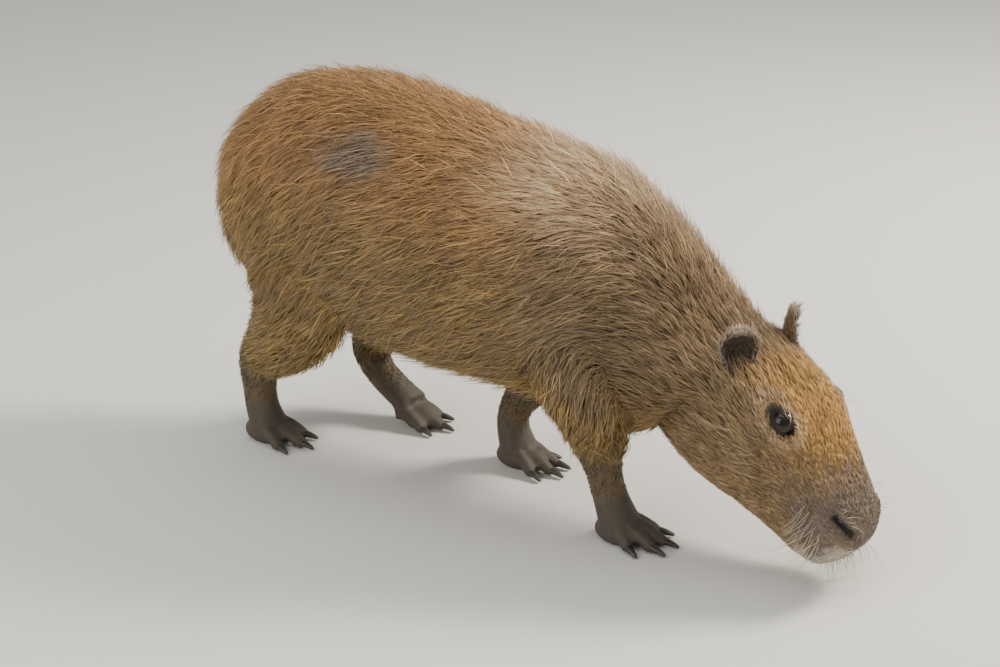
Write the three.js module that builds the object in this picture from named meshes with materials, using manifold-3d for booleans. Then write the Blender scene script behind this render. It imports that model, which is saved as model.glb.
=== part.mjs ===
// A life-size capybara, walking with its head lowered to the ground, as a still museum model.
//
// Frame: millimetres, +X the way the animal walks, +Y its left side, +Z up. The floor is z = 0 and the
// finished group is moved so that its origin is on the floor under the middle of the whole animal.
import * as THREE from "three";
import { LoftGeometry } from "three/addons/geometries/LoftGeometry.js";
import { mergeVertices } from "three/addons/utils/BufferGeometryUtils.js";
import Module from "manifold-3d";

const wasm = await Module();
wasm.setup();

// Driving dimensions.
const GAP = 0.3; // clearance between neighbouring pieces
const RING = 24; // points round a body section
const LIMB_RING = 12; // points round a leg section
const TOE_RING = 6; // points round a toe section
const FAR = 3000; // reaches past the whole animal

// Head: its axis starts at the back of the skull and ends at the nose, which points down and a little to the
// right, with the left side tilted up.
const HEAD_AT = [374, 2, 254];
const HEAD_DOWN = 48;
const HEAD_TURN = 8;
const HEAD_TILT = 6;

// Trunk sections from the rump to the nape, out to the tips of the coat. Each is a flat slice at (x, z),
// leaning by pitch degrees, with its widest level at the centre: half width, height above and depth below
// that level, and how square the oval is.
const TRUNK = [
  { x: -461, z: 352, pitch: 0, side: 22, up: 34, down: 28, square: 2 },
  { x: -452, z: 354, pitch: 0, side: 60, up: 80, down: 68, square: 2 },
  { x: -428, z: 357, pitch: 0, side: 97, up: 128, down: 110, square: 2.1 },
  { x: -383, z: 360, pitch: 0, side: 127, up: 170, down: 140, square: 2.1 },
  { x: -310, z: 361, pitch: 0, side: 145, up: 200, down: 162, square: 2.2 },
  { x: -230, z: 358, pitch: -1, side: 154, up: 210, down: 174, square: 2.2 },
  { x: -130, z: 350, pitch: -3, side: 161, up: 205, down: 182, square: 2.2 },
  { x: -35, z: 339, pitch: -5, side: 162, up: 192, down: 180, square: 2.2 },
  { x: 55, z: 328, pitch: -6, side: 155, up: 184, down: 172, square: 2.2 },
  { x: 130, z: 318, pitch: -10, side: 144, up: 180, down: 162, square: 2.2 },
  { x: 195, z: 296, pitch: -22, side: 131, up: 154, down: 159, square: 2.2 },
  { x: 258, z: 262, pitch: -36, side: 119, up: 120, down: 156, square: 2.2 },
  { x: 316, z: 244, pitch: -44, side: 108, up: 91, down: 156, square: 2.2 },
];

// Head sections along the head's axis: distance from its start, rise of the widest level over the axis,
// half width, height above and depth below that level, and how square the oval is.
const SKULL = [
  { along: -8, rise: -20, side: 98, up: 72, down: 146, square: 2.2 },
  { along: 30, rise: -18, side: 93, up: 84, down: 141, square: 2.3 },
  { along: 70, rise: -15, side: 85, up: 89, down: 133, square: 2.4 },
  { along: 105, rise: -10, side: 74, up: 86, down: 122, square: 2.5 },
  { along: 140, rise: -6, side: 63, up: 77, down: 107, square: 2.6 },
  { along: 178, rise: -6, side: 56, up: 68, down: 88, square: 2.7 },
  { along: 212, rise: -7, side: 54, up: 60, down: 70, square: 2.8 },
  { along: 240, rise: -8, side: 50, up: 51, down: 55, square: 2.7 },
  { along: 258, rise: -9, side: 39, up: 34, down: 39, square: 2.5 },
  { along: 266, rise: -11, side: 22, up: 18, down: 20, square: 2 },
];

const radians = (degrees) => (degrees * Math.PI) / 180;
const lerp = THREE.MathUtils.lerp;

// A closed geometry, its shared vertices merged, as a manifold solid.
function solid(geometry) {
  const bare = new THREE.BufferGeometry();
  bare.setAttribute("position", geometry.getAttribute("position").clone());
  bare.setIndex(geometry.index);
  const merged = mergeVertices(bare, 1e-3);
  const triVerts = new Uint32Array(merged.index.array);
  const vertProperties = merged.attributes.position.array;
  return new wasm.Manifold(new wasm.Mesh({ numProp: 3, vertProperties, triVerts }));
}

// A closed skin through rings of points, which are turned to run counterclockwise round the way they go.
function loft(rings) {
  const middle = (ring) => ring.reduce((sum, p) => sum.add(p), new THREE.Vector3()).divideScalar(ring.length);
  const ahead = middle(rings[1]).sub(middle(rings[0]));
  const normal = new THREE.Vector3();
  rings[0].forEach((p, i) => normal.add(p.clone().cross(rings[0][(i + 1) % rings[0].length])));
  const turned = normal.dot(ahead) > 0 ? rings : rings.map((ring) => [...ring].reverse());
  return solid(new LoftGeometry(turned, { capStart: true, capEnd: true }));
}

// The largest closed surface of a solid.
function largest(made) {
  const bodies = made.decompose();
  bodies.sort((a, b) => b.volume() - a.volume());
  return bodies[0];
}

// A solid made larger about the middle of its box, to leave room round it.
function swollen(made, share) {
  const { vertProperties, triVerts } = made.getMesh();
  const geometry = new THREE.BufferGeometry();
  geometry.setAttribute("position", new THREE.BufferAttribute(vertProperties, 3));
  geometry.setIndex(new THREE.BufferAttribute(triVerts, 1));
  geometry.computeBoundingBox();
  const middle = geometry.boundingBox.getCenter(new THREE.Vector3());
  geometry.translate(-middle.x, -middle.y, -middle.z);
  geometry.scale(share, share, share);
  geometry.translate(middle.x, middle.y, middle.z);
  return solid(geometry);
}

const union = (solids) => solids.reduce((a, b) => a.add(b));

// A smooth curve through one named value of a list of sections, at place t counted in sections.
function valueAt(rows, key, t) {
  const i = Math.min(Math.floor(t), rows.length - 2);
  const f = t - i;
  const at = (k) => rows[THREE.MathUtils.clamp(k, 0, rows.length - 1)][key];
  const [a, b, c, d] = [at(i - 1), at(i), at(i + 1), at(i + 2)];
  const curve = 0.5 * (2 * b + (c - a) * f + (2 * a - 5 * b + 4 * c - d) * f * f + (3 * b - a - 3 * c + d) * f ** 3);
  return THREE.MathUtils.clamp(curve, Math.min(b, c) - 4, Math.max(b, c) + 4);
}

function rowAt(rows, t) {
  return Object.fromEntries(Object.keys(rows[0]).map((key) => [key, valueAt(rows, key, t)]));
}

// Head axes: forward along the muzzle, up out of the forehead, left.
const HEAD = new THREE.Matrix4()
  .makeTranslation(...HEAD_AT)
  .multiply(new THREE.Matrix4().makeRotationY(radians(HEAD_DOWN)))
  .multiply(new THREE.Matrix4().makeRotationZ(-radians(HEAD_TURN)))
  .multiply(new THREE.Matrix4().makeRotationX(radians(HEAD_TILT)));
const onHead = (along, left, rise) => new THREE.Vector3(along, left, rise).applyMatrix4(HEAD);

// The whole animal's spine as one list of slices: centre, up, left and the slice's sizes.
function trunkSlice(row) {
  const lean = radians(row.pitch);
  return {
    ...row,
    centre: new THREE.Vector3(row.x, 0, row.z),
    rise: new THREE.Vector3(-Math.sin(lean), 0, Math.cos(lean)),
    left: new THREE.Vector3(0, 1, 0),
  };
}

function skullSlice(row) {
  const rise = new THREE.Vector3(0, 0, 1).transformDirection(HEAD);
  const left = new THREE.Vector3(0, 1, 0).transformDirection(HEAD);
  return { ...row, centre: onHead(row.along, 0, row.rise), rise, left };
}

const power = (value, exponent) => Math.sign(value) * Math.abs(value) ** exponent;

// One closed section: an oval with its own height above and depth below, swollen outwards by grow.
function ovalRing(slice, count, grow = 0) {
  return Array.from({ length: count }, (_, i) => {
    const turn = (i / count) * 2 * Math.PI;
    const out = power(Math.cos(turn), 2 / slice.square);
    const high = power(Math.sin(turn), 2 / slice.square);
    const tall = (high > 0 ? slice.up : slice.down) + grow;
    return slice.centre
      .clone()
      .addScaledVector(slice.left, out * (slice.side + grow))
      .addScaledVector(slice.rise, high * tall);
  });
}

// The joined list of slices from the rump to the nose, finer at the head.
const TRUNK_STEP = 0.75;
const SKULL_STEP = 0.5;
function slicesOf(rows, step, slice) {
  const count = Math.ceil((rows.length - 1) / step);
  return Array.from({ length: count + 1 }, (_, i) => slice(rowAt(rows, (i * (rows.length - 1)) / count)));
}
const TRUNK_SLICES = slicesOf(TRUNK, TRUNK_STEP, trunkSlice);
const SKULL_SLICES = slicesOf(SKULL, SKULL_STEP, skullSlice);
const SPINE = [...TRUNK_SLICES, ...SKULL_SLICES];
const body = (grow = () => 0) => loft(SPINE.map((slice, i) => ovalRing(slice, RING, grow(i))));

// A leg or toe: rows of centre x, y, z with half width across and half depth, set square to the path.
function limb(rows, { ring = LIMB_RING, steps = 2, square = 2, grow = 0 } = {}) {
  const path = [];
  for (let t = 0; t < rows.length - 1 + 0.01; t += 1 / steps) path.push(rowAt(rows, Math.min(t, rows.length - 1)));
  const points = path.map((row) => new THREE.Vector3(row.x, row.y, row.z));
  return loft(
    path.map((row, i) => {
      const ahead = points[Math.min(i + 1, points.length - 1)];
      const behind = points[Math.max(i - 1, 0)];
      const along = ahead.clone().sub(behind).normalize();
      const rise = new THREE.Vector3(0, 1, 0).cross(along).normalize();
      const left = along.clone().cross(rise).normalize();
      const slice = { centre: points[i], rise, left, side: row.wide, up: row.deep, down: row.deep, square };
      return ovalRing(slice, ring, grow);
    }),
  );
}

// Everything ahead of a plane, as a huge box that starts half a gap past it.
function ahead(point, direction, gap = GAP / 2) {
  const made = new THREE.BoxGeometry(FAR, FAR, FAR);
  made.translate(FAR / 2 + gap, 0, 0);
  const turn = new THREE.Quaternion().setFromUnitVectors(new THREE.Vector3(1, 0, 0), direction.clone().normalize());
  made.applyQuaternion(turn);
  made.translate(point.x, point.y, point.z);
  return solid(made);
}
const behind = (point, direction, gap = GAP / 2) => ahead(point, direction.clone().negate(), gap);
const facing = (slice) => new THREE.Vector3().crossVectors(slice.left, slice.rise);
const UP = new THREE.Vector3(0, 0, 1);

// Legs, from the body down to the foot: centre, half width across and half depth fore and aft.
const LEGS = {
  hind_leg_right: [
    { x: -300, y: -78, z: 350, wide: 54, deep: 98 },
    { x: -278, y: -98, z: 280, wide: 50, deep: 98 },
    { x: -292, y: -101, z: 215, wide: 43, deep: 82 },
    { x: -335, y: -97, z: 165, wide: 34, deep: 57 },
    { x: -372, y: -93, z: 128, wide: 27, deep: 38 },
    { x: -379, y: -90, z: 90, wide: 23, deep: 29 },
    { x: -378, y: -88, z: 55, wide: 24, deep: 28 },
    { x: -368, y: -87, z: 24, wide: 31, deep: 27 },
  ],
  hind_leg_left: [
    { x: -290, y: 78, z: 350, wide: 54, deep: 94 },
    { x: -235, y: 98, z: 275, wide: 50, deep: 90 },
    { x: -225, y: 101, z: 210, wide: 41, deep: 68 },
    { x: -270, y: 96, z: 155, wide: 32, deep: 47 },
    { x: -303, y: 89, z: 110, wide: 27, deep: 34 },
    { x: -283, y: 83, z: 72, wide: 25, deep: 26 },
    { x: -250, y: 80, z: 49, wide: 27, deep: 23 },
    { x: -216, y: 78, z: 31, wide: 32, deep: 19 },
  ],
  fore_leg_right: [
    { x: 150, y: -84, z: 300, wide: 48, deep: 78 },
    { x: 172, y: -99, z: 232, wide: 43, deep: 67 },
    { x: 196, y: -96, z: 180, wide: 35, deep: 53 },
    { x: 205, y: -88, z: 135, wide: 28, deep: 38 },
    { x: 211, y: -81, z: 95, wide: 23, deep: 27 },
    { x: 218, y: -77, z: 62, wide: 24, deep: 25 },
    { x: 232, y: -75, z: 26, wide: 32, deep: 27 },
  ],
  fore_leg_left: [
    { x: 128, y: 82, z: 300, wide: 48, deep: 78 },
    { x: 96, y: 95, z: 232, wide: 43, deep: 65 },
    { x: 52, y: 84, z: 176, wide: 35, deep: 49 },
    { x: 14, y: 68, z: 130, wide: 28, deep: 37 },
    { x: -10, y: 57, z: 92, wide: 23, deep: 27 },
    { x: -16, y: 50, z: 60, wide: 24, deep: 25 },
    { x: -4, y: 46, z: 26, wide: 32, deep: 26 },
  ],
};

// Toes of one foot: where each leaves the foot and where its claw begins, in the foot's own frame, forward
// and left of the foot's middle, with its half width. The outer toe comes first.
const FORE_TOES = [
  { root: [2, 17], tip: [33, 33], wide: 8.5 },
  { root: [12, 9], tip: [61, 15], wide: 10 },
  { root: [12, -6], tip: [66, -11], wide: 10 },
  { root: [4, -17], tip: [46, -34], wide: 9 },
];
const HIND_TOES = [
  { root: [4, 17], tip: [46, 30], wide: 10.5 },
  { root: [10, 0], tip: [68, 1], wide: 13 },
  { root: [4, -17], tip: [50, -28], wide: 10.5 },
];
const TOE_ROOT_Z = 21;
const TOE_TIP_Z = 6.5;
const TOE_BELLY = 9;
const CLAW_LENGTH = 19;
const CLAW_WIDE = 6.5;
const CLAW_TIP_WIDE = 2.4;
const WEB_THICK = 2.6;
const WEB_REACH = 0.55;

// Where each foot stands: its middle, the leg it ends, its toes, which side its outer toe is on, the
// height of its ankle cut, the height where the leg comes out of the body's coat, and its pitch.
const FEET = {
  hind_foot_right: { leg: "hind_leg_right", toes: HIND_TOES, outer: -1, ankle: 5, skirt: 3.1, lift: 0, pad: [40, 30, 20], padAt: 0 },
  hind_foot_left: { leg: "hind_leg_left", toes: HIND_TOES, outer: 1, ankle: 6, skirt: 2.8, lift: 1, pad: [26, 28, 15], padAt: 16 },
  fore_foot_right: { leg: "fore_leg_right", toes: FORE_TOES, outer: -1, ankle: 4.8, skirt: 2.4, lift: 0, pad: [38, 31, 19], padAt: 4 },
  fore_foot_left: { leg: "fore_leg_left", toes: FORE_TOES, outer: 1, ankle: 4.8, skirt: 2.2, lift: 0, pad: [38, 31, 19], padAt: 4 },
};

const pointAt = (rows, t) => {
  const row = rowAt(rows, t);
  return new THREE.Vector3(row.x, row.y, row.z);
};
const wayAt = (rows, t) => pointAt(rows, Math.min(t + 0.2, rows.length - 1)).sub(pointAt(rows, t - 0.2)).normalize();

// A toe's path from the foot to its claw, arched over the knuckle and down to the floor.
function toePath(foot, toe) {
  const rows = LEGS[foot.leg];
  const base = rows[rows.length - 1];
  const at = (share) => {
    const forward = lerp(toe.root[0], toe.tip[0], share) - 12 * foot.lift;
    const out = lerp(toe.root[1], toe.tip[1], share) * foot.outer;
    const arch = 6 * Math.sin(Math.PI * Math.min(share * 1.15, 1));
    return { x: base.x + forward, y: base.y + out, z: lerp(TOE_ROOT_Z, TOE_TIP_Z, Math.max(share, 0) ** 0.8) + arch };
  };
  return at;
}

function toeSolid(foot, toe, grow = 0) {
  const at = toePath(foot, toe);
  const shares = [-0.25, 0.12, 0.4, 0.75, 1.0, 1.06];
  const swell = [0.95, 1, 1.08, 0.9, 0.68, 0.36];
  const rows = shares.map((share, i) => ({
    ...at(share),
    wide: toe.wide * swell[i] + grow,
    deep: TOE_BELLY * swell[i] * (share < 0.2 ? 1.2 : 1) + grow,
  }));
  return limb(rows, { ring: TOE_RING, steps: 1, square: 2.3 });
}

function clawSolid(foot, toe) {
  const at = toePath(foot, toe);
  const [start, end] = [at(0.86), at(1)];
  const way = new THREE.Vector3(end.x - start.x, end.y - start.y, 0).normalize();
  const shares = [0, 0.6, 1];
  const rows = shares.map((share) => ({
    x: end.x - 6 * way.x + way.x * share * (CLAW_LENGTH + 6),
    y: end.y - 6 * way.y + way.y * share * (CLAW_LENGTH + 6),
    z: lerp(TOE_TIP_Z + 2, 3.2, share ** 1.6),
    wide: lerp(CLAW_WIDE, CLAW_TIP_WIDE, share ** 1.7),
    deep: lerp(CLAW_WIDE * 0.8, CLAW_TIP_WIDE, share ** 1.3),
  }));
  return limb(rows, { ring: 6, steps: 1 });
}

// The pad of a foot, which stands flat on the floor under the leg and the roots of the toes.
function padSolid(foot) {
  const rows = LEGS[foot.leg];
  const base = rows[rows.length - 1];
  const made = new THREE.SphereGeometry(1, 14, 8);
  made.scale(...foot.pad);
  made.translate(base.x + foot.padAt, base.y, foot.pad[2] * 0.72);
  return solid(made);
}

// The skin between two toes: a thin plate from the foot to half way along them.
function webSolid(foot, one, two) {
  const [a, b] = [toePath(foot, one), toePath(foot, two)];
  const rows = [-0.1, 0.2, WEB_REACH].map((share) => {
    const [p, q] = [a(share), b(share)];
    const apart = Math.hypot(p.x - q.x, p.y - q.y);
    return { x: (p.x + q.x) / 2, y: (p.y + q.y) / 2, z: (p.z + q.z) / 2 - 3, wide: apart / 2, deep: WEB_THICK };
  });
  rows[2].x -= 5;
  return limb(rows, { ring: TOE_RING, steps: 1 });
}

// Head details, placed on the head's axes. Sides are -1 for right and 1 for left.
const EYE = { along: 86, out: 57, rise: 45, radius: 16.5, look: [0.12, 0.8, 0.58] };
const LID = { thick: 3.2, swell: 2.6 };
const NOSTRIL = { from: [218, 44, 31], to: [248, 31, 32], wide: 4.8 };
const EAR = { along: -2, out: 62, rise: 35, thick: 4.4 };
const MOUTH = { along: 214, drop: -46, reach: 84, thick: 2.2, depth: 9 };

// The eyeball: a sphere that sits in its socket.
function eyeball(side, grow = 0) {
  const made = new THREE.SphereGeometry(EYE.radius + grow, 14, 9);
  const centre = onHead(EYE.along, side * EYE.out, EYE.rise);
  made.translate(centre.x, centre.y, centre.z);
  return solid(made);
}

// A lid: a bent roll of skin over the eyeball from its front corner to its back one. bow is 1 above, -1 below.
function lid(side, bow) {
  const steps = 6;
  const centre = onHead(EYE.along, side * EYE.out, EYE.rise);
  const look = new THREE.Vector3(EYE.look[0], side * EYE.look[1], EYE.look[2]).transformDirection(HEAD);
  const fore = new THREE.Vector3(1, 0, 0.1).transformDirection(HEAD);
  fore.addScaledVector(look, -fore.dot(look)).normalize();
  const high = look.clone().cross(fore).multiplyScalar(side);
  if (high.z < 0) high.negate();
  const rows = Array.from({ length: steps + 1 }, (_, i) => {
    const share = i / steps;
    const turn = Math.PI * (1 - share);
    const ahead = Math.cos(turn) * (EYE.radius + 2.5);
    const up = Math.sin(turn) * EYE.radius * (bow > 0 ? 0.78 : -0.66);
    const reach = Math.sqrt(Math.max(EYE.radius ** 2 - 0.72 * (ahead * ahead + up * up), 30)) + 0.5;
    const place = centre
      .clone()
      .addScaledVector(fore, ahead * 1.08)
      .addScaledVector(high, up)
      .addScaledVector(look, reach - 1.5);
    const full = Math.sin(Math.PI * (0.12 + 0.76 * share));
    return { x: place.x, y: place.y, z: place.z, wide: 1.5 + LID.swell * full, deep: 1.2 + (LID.thick - 1.2) * full };
  });
  return limb(rows, { ring: 6, steps: 1 });
}

// A nostril: a slot sunk into the side of the muzzle, slanting in towards the nose.
function nostril(side) {
  const rows = [0, 0.25, 0.5, 0.75, 1].map((share) => {
    const [along, out, rise] = NOSTRIL.from.map((value, i) => lerp(value, NOSTRIL.to[i], share));
    const full = 1 - 0.6 * Math.abs(share * 2 - 1);
    const place = onHead(along, side * (out - 2 + 2 * full), rise - 2 + 2 * full);
    return { x: place.x, y: place.y, z: place.z, wide: NOSTRIL.wide * full, deep: NOSTRIL.wide * full };
  });
  return limb(rows, { ring: 8, steps: 1 });
}

// The mouth: a thin bent blade that cuts the line between the lips, round under the muzzle.
function mouthCut() {
  const steps = 10;
  const rings = Array.from({ length: steps + 1 }, (_, i) => {
    const turn = lerp(-1, 1, i / steps) * radians(118);
    const out = Math.sin(turn) * 54;
    const along = MOUTH.along - 46 + Math.cos(turn) * 62;
    const inner = 1 - MOUTH.depth / 58;
    const lift = -6 * Math.cos(turn) + 7 * (1 - Math.abs(turn) / 2);
    const corner = (x, y, z) => onHead(x, y, MOUTH.drop + lift + z);
    const middle = MOUTH.along - 46;
    return [
      corner(middle + (along - middle) * 1.3, out * 1.3, -MOUTH.thick / 2),
      corner(middle + (along - middle) * 1.3, out * 1.3, MOUTH.thick / 2),
      corner(middle + (along - middle) * inner, out * inner, 0.3),
      corner(middle + (along - middle) * inner, out * inner, -0.3),
    ];
  });
  return loft(rings);
}

// An ear: rings of crescents up from its root, bulging behind and hollow in front.
function ear(side) {
  const rows = [
    { high: -14, half: 14, cup: 7, lean: 0 },
    { high: 0, half: 18, cup: 10, lean: 0 },
    { high: 10, half: 22, cup: 12, lean: -2 },
    { high: 21, half: 24.5, cup: 11.5, lean: -5 },
    { high: 30, half: 22.5, cup: 9, lean: -8 },
    { high: 37, half: 16, cup: 6, lean: -10 },
    { high: 41, half: 7, cup: 2.5, lean: -11 },
  ];
  const root = onHead(EAR.along, side * EAR.out, EAR.rise);
  const rise = new THREE.Vector3(-0.7, side * 0.1, 0.7).transformDirection(HEAD);
  const across = new THREE.Vector3(0.34, side * -0.79, 0.53).transformDirection(HEAD);
  across.addScaledVector(rise, -across.dot(rise)).normalize();
  const back = rise.clone().cross(across).multiplyScalar(side).normalize();
  if (back.clone().dot(new THREE.Vector3(-0.3, -side, 0).transformDirection(HEAD)) < 0) back.negate();
  const half = 7;
  return loft(
    rows.map((row) => {
      const wall = row.high < 6 ? 1 : 0;
      const side1 = Array.from({ length: half + 1 }, (_, i) => lerp(-1, 1, i / half));
      const place = (v, depth) =>
        root
          .clone()
          .addScaledVector(rise, row.high)
          .addScaledVector(across, v * row.half)
          .addScaledVector(back, depth + row.lean * -0.4);
      const outer = side1.map((v) => place(v, row.cup * (1 - v * v) + EAR.thick / 2));
      const inner = side1.map((v) => place(v * 0.97, row.cup * (1 - v * v) * (wall ? -0.4 : 1) - EAR.thick / 2));
      return [...outer, ...inner.reverse()];
    }),
  );
}

// Cuts across the trunk: where the hindquarters, barrel, shoulders, neck and head part.
const CUTS = {
  loin: TRUNK_SLICES[7],
  ribs: TRUNK_SLICES[10],
  neck: TRUNK_SLICES[14],
  poll: TRUNK_SLICES[16],
};
const past = (slice, gap) => ahead(slice.centre, facing(slice), gap);
const before = (slice, gap) => behind(slice.centre, facing(slice), gap);

// The coat: how deep it is over the skin, and how far in the dense part under the locks reaches.
const COAT_CORE = 12;
const LOCK_LONG = 135; // length of a lock along the lie
const LOCK_WIDE = 108;
const LOCK_THICK = 11;
const LOCK_ROW = 82; // distance from one row of locks to the next
const LOCK_SHARES = [0, 0.3, 0.68, 1];
const LOCK_TAPER = [0.8, 1, 0.72, 0.06];
const LOCK_RISE = [-26, -6, -1.5, 0];

// A repeatable random draw from low to high.
let draw = 20251125;
function random(low, high) {
  draw = (draw * 1664525 + 1013904223) % 4294967296;
  return lerp(low, high, draw / 4294967296);
}

// Distances along the spine from the rump to each of its slices.
const ALONG = [0];
SPINE.slice(1).forEach((slice, i) => ALONG.push(ALONG[i] + Math.max(slice.centre.distanceTo(SPINE[i].centre), 1)));

// A place at a distance along the spine and a turn round it from the left side, outside the tips by grow.
function coatPoint(along, turn, grow) {
  const far = THREE.MathUtils.clamp(along, 1, ALONG[ALONG.length - 1] - 1);
  const i = Math.max(ALONG.findIndex((value) => value > far) - 1, 0);
  const f = (far - ALONG[i]) / (ALONG[i + 1] - ALONG[i]);
  const [a, b] = [SPINE[i], SPINE[i + 1]];
  const size = (key) => lerp(a[key], b[key], f);
  const grown = (key) => Math.max(size(key) + grow, size(key) * 0.3);
  const out = power(Math.cos(turn), 2 / size("square")) * grown("side");
  const high = power(Math.sin(turn), 2 / size("square"));
  const tall = high > 0 ? grown("up") : grown("down");
  return a.centre
    .clone()
    .lerp(b.centre, f)
    .addScaledVector(new THREE.Vector3(0, 1, 0), out)
    .addScaledVector(a.rise.clone().lerp(b.rise, f).normalize(), high * tall);
}

// A lock: flat and ridged, from its root in the dense coat back and down along the lie to its pointed tip.
function lock(along, turn, { long, wide, fall }) {
  const top = THREE.MathUtils.euclideanModulo(turn - Math.PI / 2 + Math.PI, 2 * Math.PI) - Math.PI;
  const down = Math.sign(top) * Math.min(Math.abs(top) * 2, 1);
  const round = coatPoint(along, 0, 0).distanceTo(coatPoint(along, Math.PI, 0)) / 2;
  return loft(
    LOCK_SHARES.map((share, i) => {
      const back = along - long * share * Math.cos(fall);
      const middle = turn + (down * long * Math.sin(fall) * share ** 1.3) / round;
      const half = (wide * LOCK_TAPER[i]) / 2 / round;
      const thick = LOCK_THICK * (1 - 0.75 * share);
      const rise = LOCK_RISE[i];
      return [
        coatPoint(back, middle - half, rise - thick),
        coatPoint(back, middle, rise - thick - 5 * (1 - share)),
        coatPoint(back, middle + half, rise - thick),
        coatPoint(back, middle, rise),
      ];
    }),
  );
}

// All the locks of the trunk and neck, in rows that lie over one another like tiles.
function locks() {
  const made = [];
  const end = ALONG[TRUNK_SLICES.length - 1];
  for (let row = 0; 70 + row * LOCK_ROW < end + 10; row++) {
    const along = 70 + row * LOCK_ROW;
    const girth = coatPoint(along - 40, 0, 0).distanceTo(coatPoint(along - 40, Math.PI, 0)) * Math.PI * 1.12;
    const count = Math.max(Math.round(girth / (LOCK_WIDE * 0.94)), 5);
    for (let i = 0; i < count; i++) {
      const turn = ((i + 0.5 * (row % 2) + random(-0.1, 0.1)) / count) * 2 * Math.PI;
      made.push(
        lock(along + random(-9, 9), turn, {
          long: Math.min(LOCK_LONG * random(0.88, 1.12), along - 24),
          wide: LOCK_WIDE * random(0.88, 1.1),
          fall: radians(lerp(34, 14, along / end) + random(-5, 5)),
        }),
      );
    }
  }
  return made;
}

const parts = new Map();
const floor = ahead(new THREE.Vector3(0, 0, 0), UP, 0);

// Above its skirt a leg is a thigh or upper arm, between skirt and ankle it is a leg, below it a foot.
const UPPER = { hind_leg_right: "thigh_right", hind_leg_left: "thigh_left" };
Object.assign(UPPER, { fore_leg_right: "upper_arm_right", fore_leg_left: "upper_arm_left" });
const upperSpace = [];
for (const [name, foot] of Object.entries(FEET)) {
  const rows = LEGS[foot.leg];
  const whole = limb(rows);
  const skirt = [pointAt(rows, foot.skirt), wayAt(rows, foot.skirt)];
  const ankle = [pointAt(rows, foot.ankle), wayAt(rows, foot.ankle)];
  const upper = largest(whole.intersect(behind(...skirt)));
  parts.set(UPPER[foot.leg], { made: upper, colour: "coat" });
  upperSpace.push(swollen(upper, 1.012));
  const leg = largest(whole.intersect(ahead(...skirt)).intersect(behind(...ankle)));
  parts.set(foot.leg, { made: leg, colour: "leg" });
  upperSpace.push(swollen(leg, 1.015));
  const toes = (grow) => foot.toes.map((toe) => toeSolid(foot, toe, grow));
  const webs = foot.toes.slice(1).map((toe, i) => webSolid(foot, foot.toes[i], toe));
  const sole = union([whole.intersect(ahead(...ankle)), padSolid(foot), ...toes(0), ...webs]);
  parts.set(name, { made: largest(sole.subtract(leg).intersect(floor)), colour: "leg" });
  const grown = union([...toes(GAP), ...webs]);
  foot.toes.forEach((toe, i) => {
    const claw = clawSolid(foot, toe).subtract(grown).intersect(floor);
    parts.set(`${name.replace("foot", "claw")}_${i + 1}`, { made: largest(claw), colour: "claw" });
  });
}

// The dense coat under the locks thins out to nothing where the short fur of the head begins.
const coreGrow = (i) => -COAT_CORE * THREE.MathUtils.clamp((TRUNK_SLICES.length - 1 - i) / 3, 0, 1);
const core = body(coreGrow);
const flesh = union([core, ...locks()]).subtract(union(upperSpace));
const trunk = body();
const between = (from, to) => flesh.intersect(past(from)).intersect(before(to));
parts.set("hindquarters", { made: flesh.intersect(before(CUTS.loin)), colour: "coat" });
parts.set("barrel", { made: between(CUTS.loin, CUTS.ribs), colour: "coat" });
parts.set("shoulders", { made: between(CUTS.ribs, CUTS.neck), colour: "coat" });
parts.set("neck", { made: between(CUTS.neck, CUTS.poll), colour: "coat" });

const earSpace = body(() => GAP);
let head = trunk.intersect(past(CUTS.poll)).subtract(union(upperSpace));
for (const side of [-1, 1]) {
  const word = side < 0 ? "right" : "left";
  head = union([head, lid(side, 1), lid(side, -1)]);
  head = head.subtract(nostril(side));
  parts.set(`ear_${word}`, { made: largest(ear(side).subtract(earSpace)), colour: "ear" });
}
head = head.subtract(mouthCut());
for (const side of [-1, 1]) {
  const word = side < 0 ? "right" : "left";
  head = head.subtract(eyeball(side, GAP));
  parts.set(`eye_${word}`, { made: eyeball(side), colour: "eye" });
}
parts.set("head", { made: head, colour: "coat" });

// The model as a scene graph of named meshes.
const FINISHES = {
  coat: { color: 0x9a6b3f, roughness: 0.9 },
  leg: { color: 0x4a3a30, roughness: 0.8 },
  claw: { color: 0x2b2826, roughness: 0.5 },
  ear: { color: 0x5a4635, roughness: 0.85 },
  eye: { color: 0x120e0c, roughness: 0.1 },
};
const animal = new THREE.Group();
for (const [name, { made, colour }] of parts) {
  const { vertProperties, triVerts } = largest(made).getMesh();
  const geometry = new THREE.BufferGeometry();
  geometry.setAttribute("position", new THREE.BufferAttribute(vertProperties, 3));
  geometry.setIndex(new THREE.BufferAttribute(triVerts, 1));
  geometry.computeVertexNormals();
  const mesh = new THREE.Mesh(geometry, new THREE.MeshStandardMaterial({ ...FINISHES[colour], metalness: 0 }));
  mesh.name = name;
  animal.add(mesh);
}
const box = new THREE.Box3().setFromObject(animal);
animal.position.set(-(box.min.x + box.max.x) / 2, -(box.min.y + box.max.y) / 2, -box.min.z);
export default animal;
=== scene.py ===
"""A life-size capybara, walking with its head lowered to the ground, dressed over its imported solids.

One closed skin covers the body, legs, feet and head. Over it lie tufts of coat, and the eyes, lids, ears,
claws and whiskers are pieces of their own. All lengths in the tables are millimetres in the animal's own
frame: +X the way it walks, +Y its left side, +Z up, with the floor at z = 0.
"""

import math

import bmesh
import bpy
import numpy as np
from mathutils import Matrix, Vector
from mathutils.kdtree import KDTree


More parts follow.
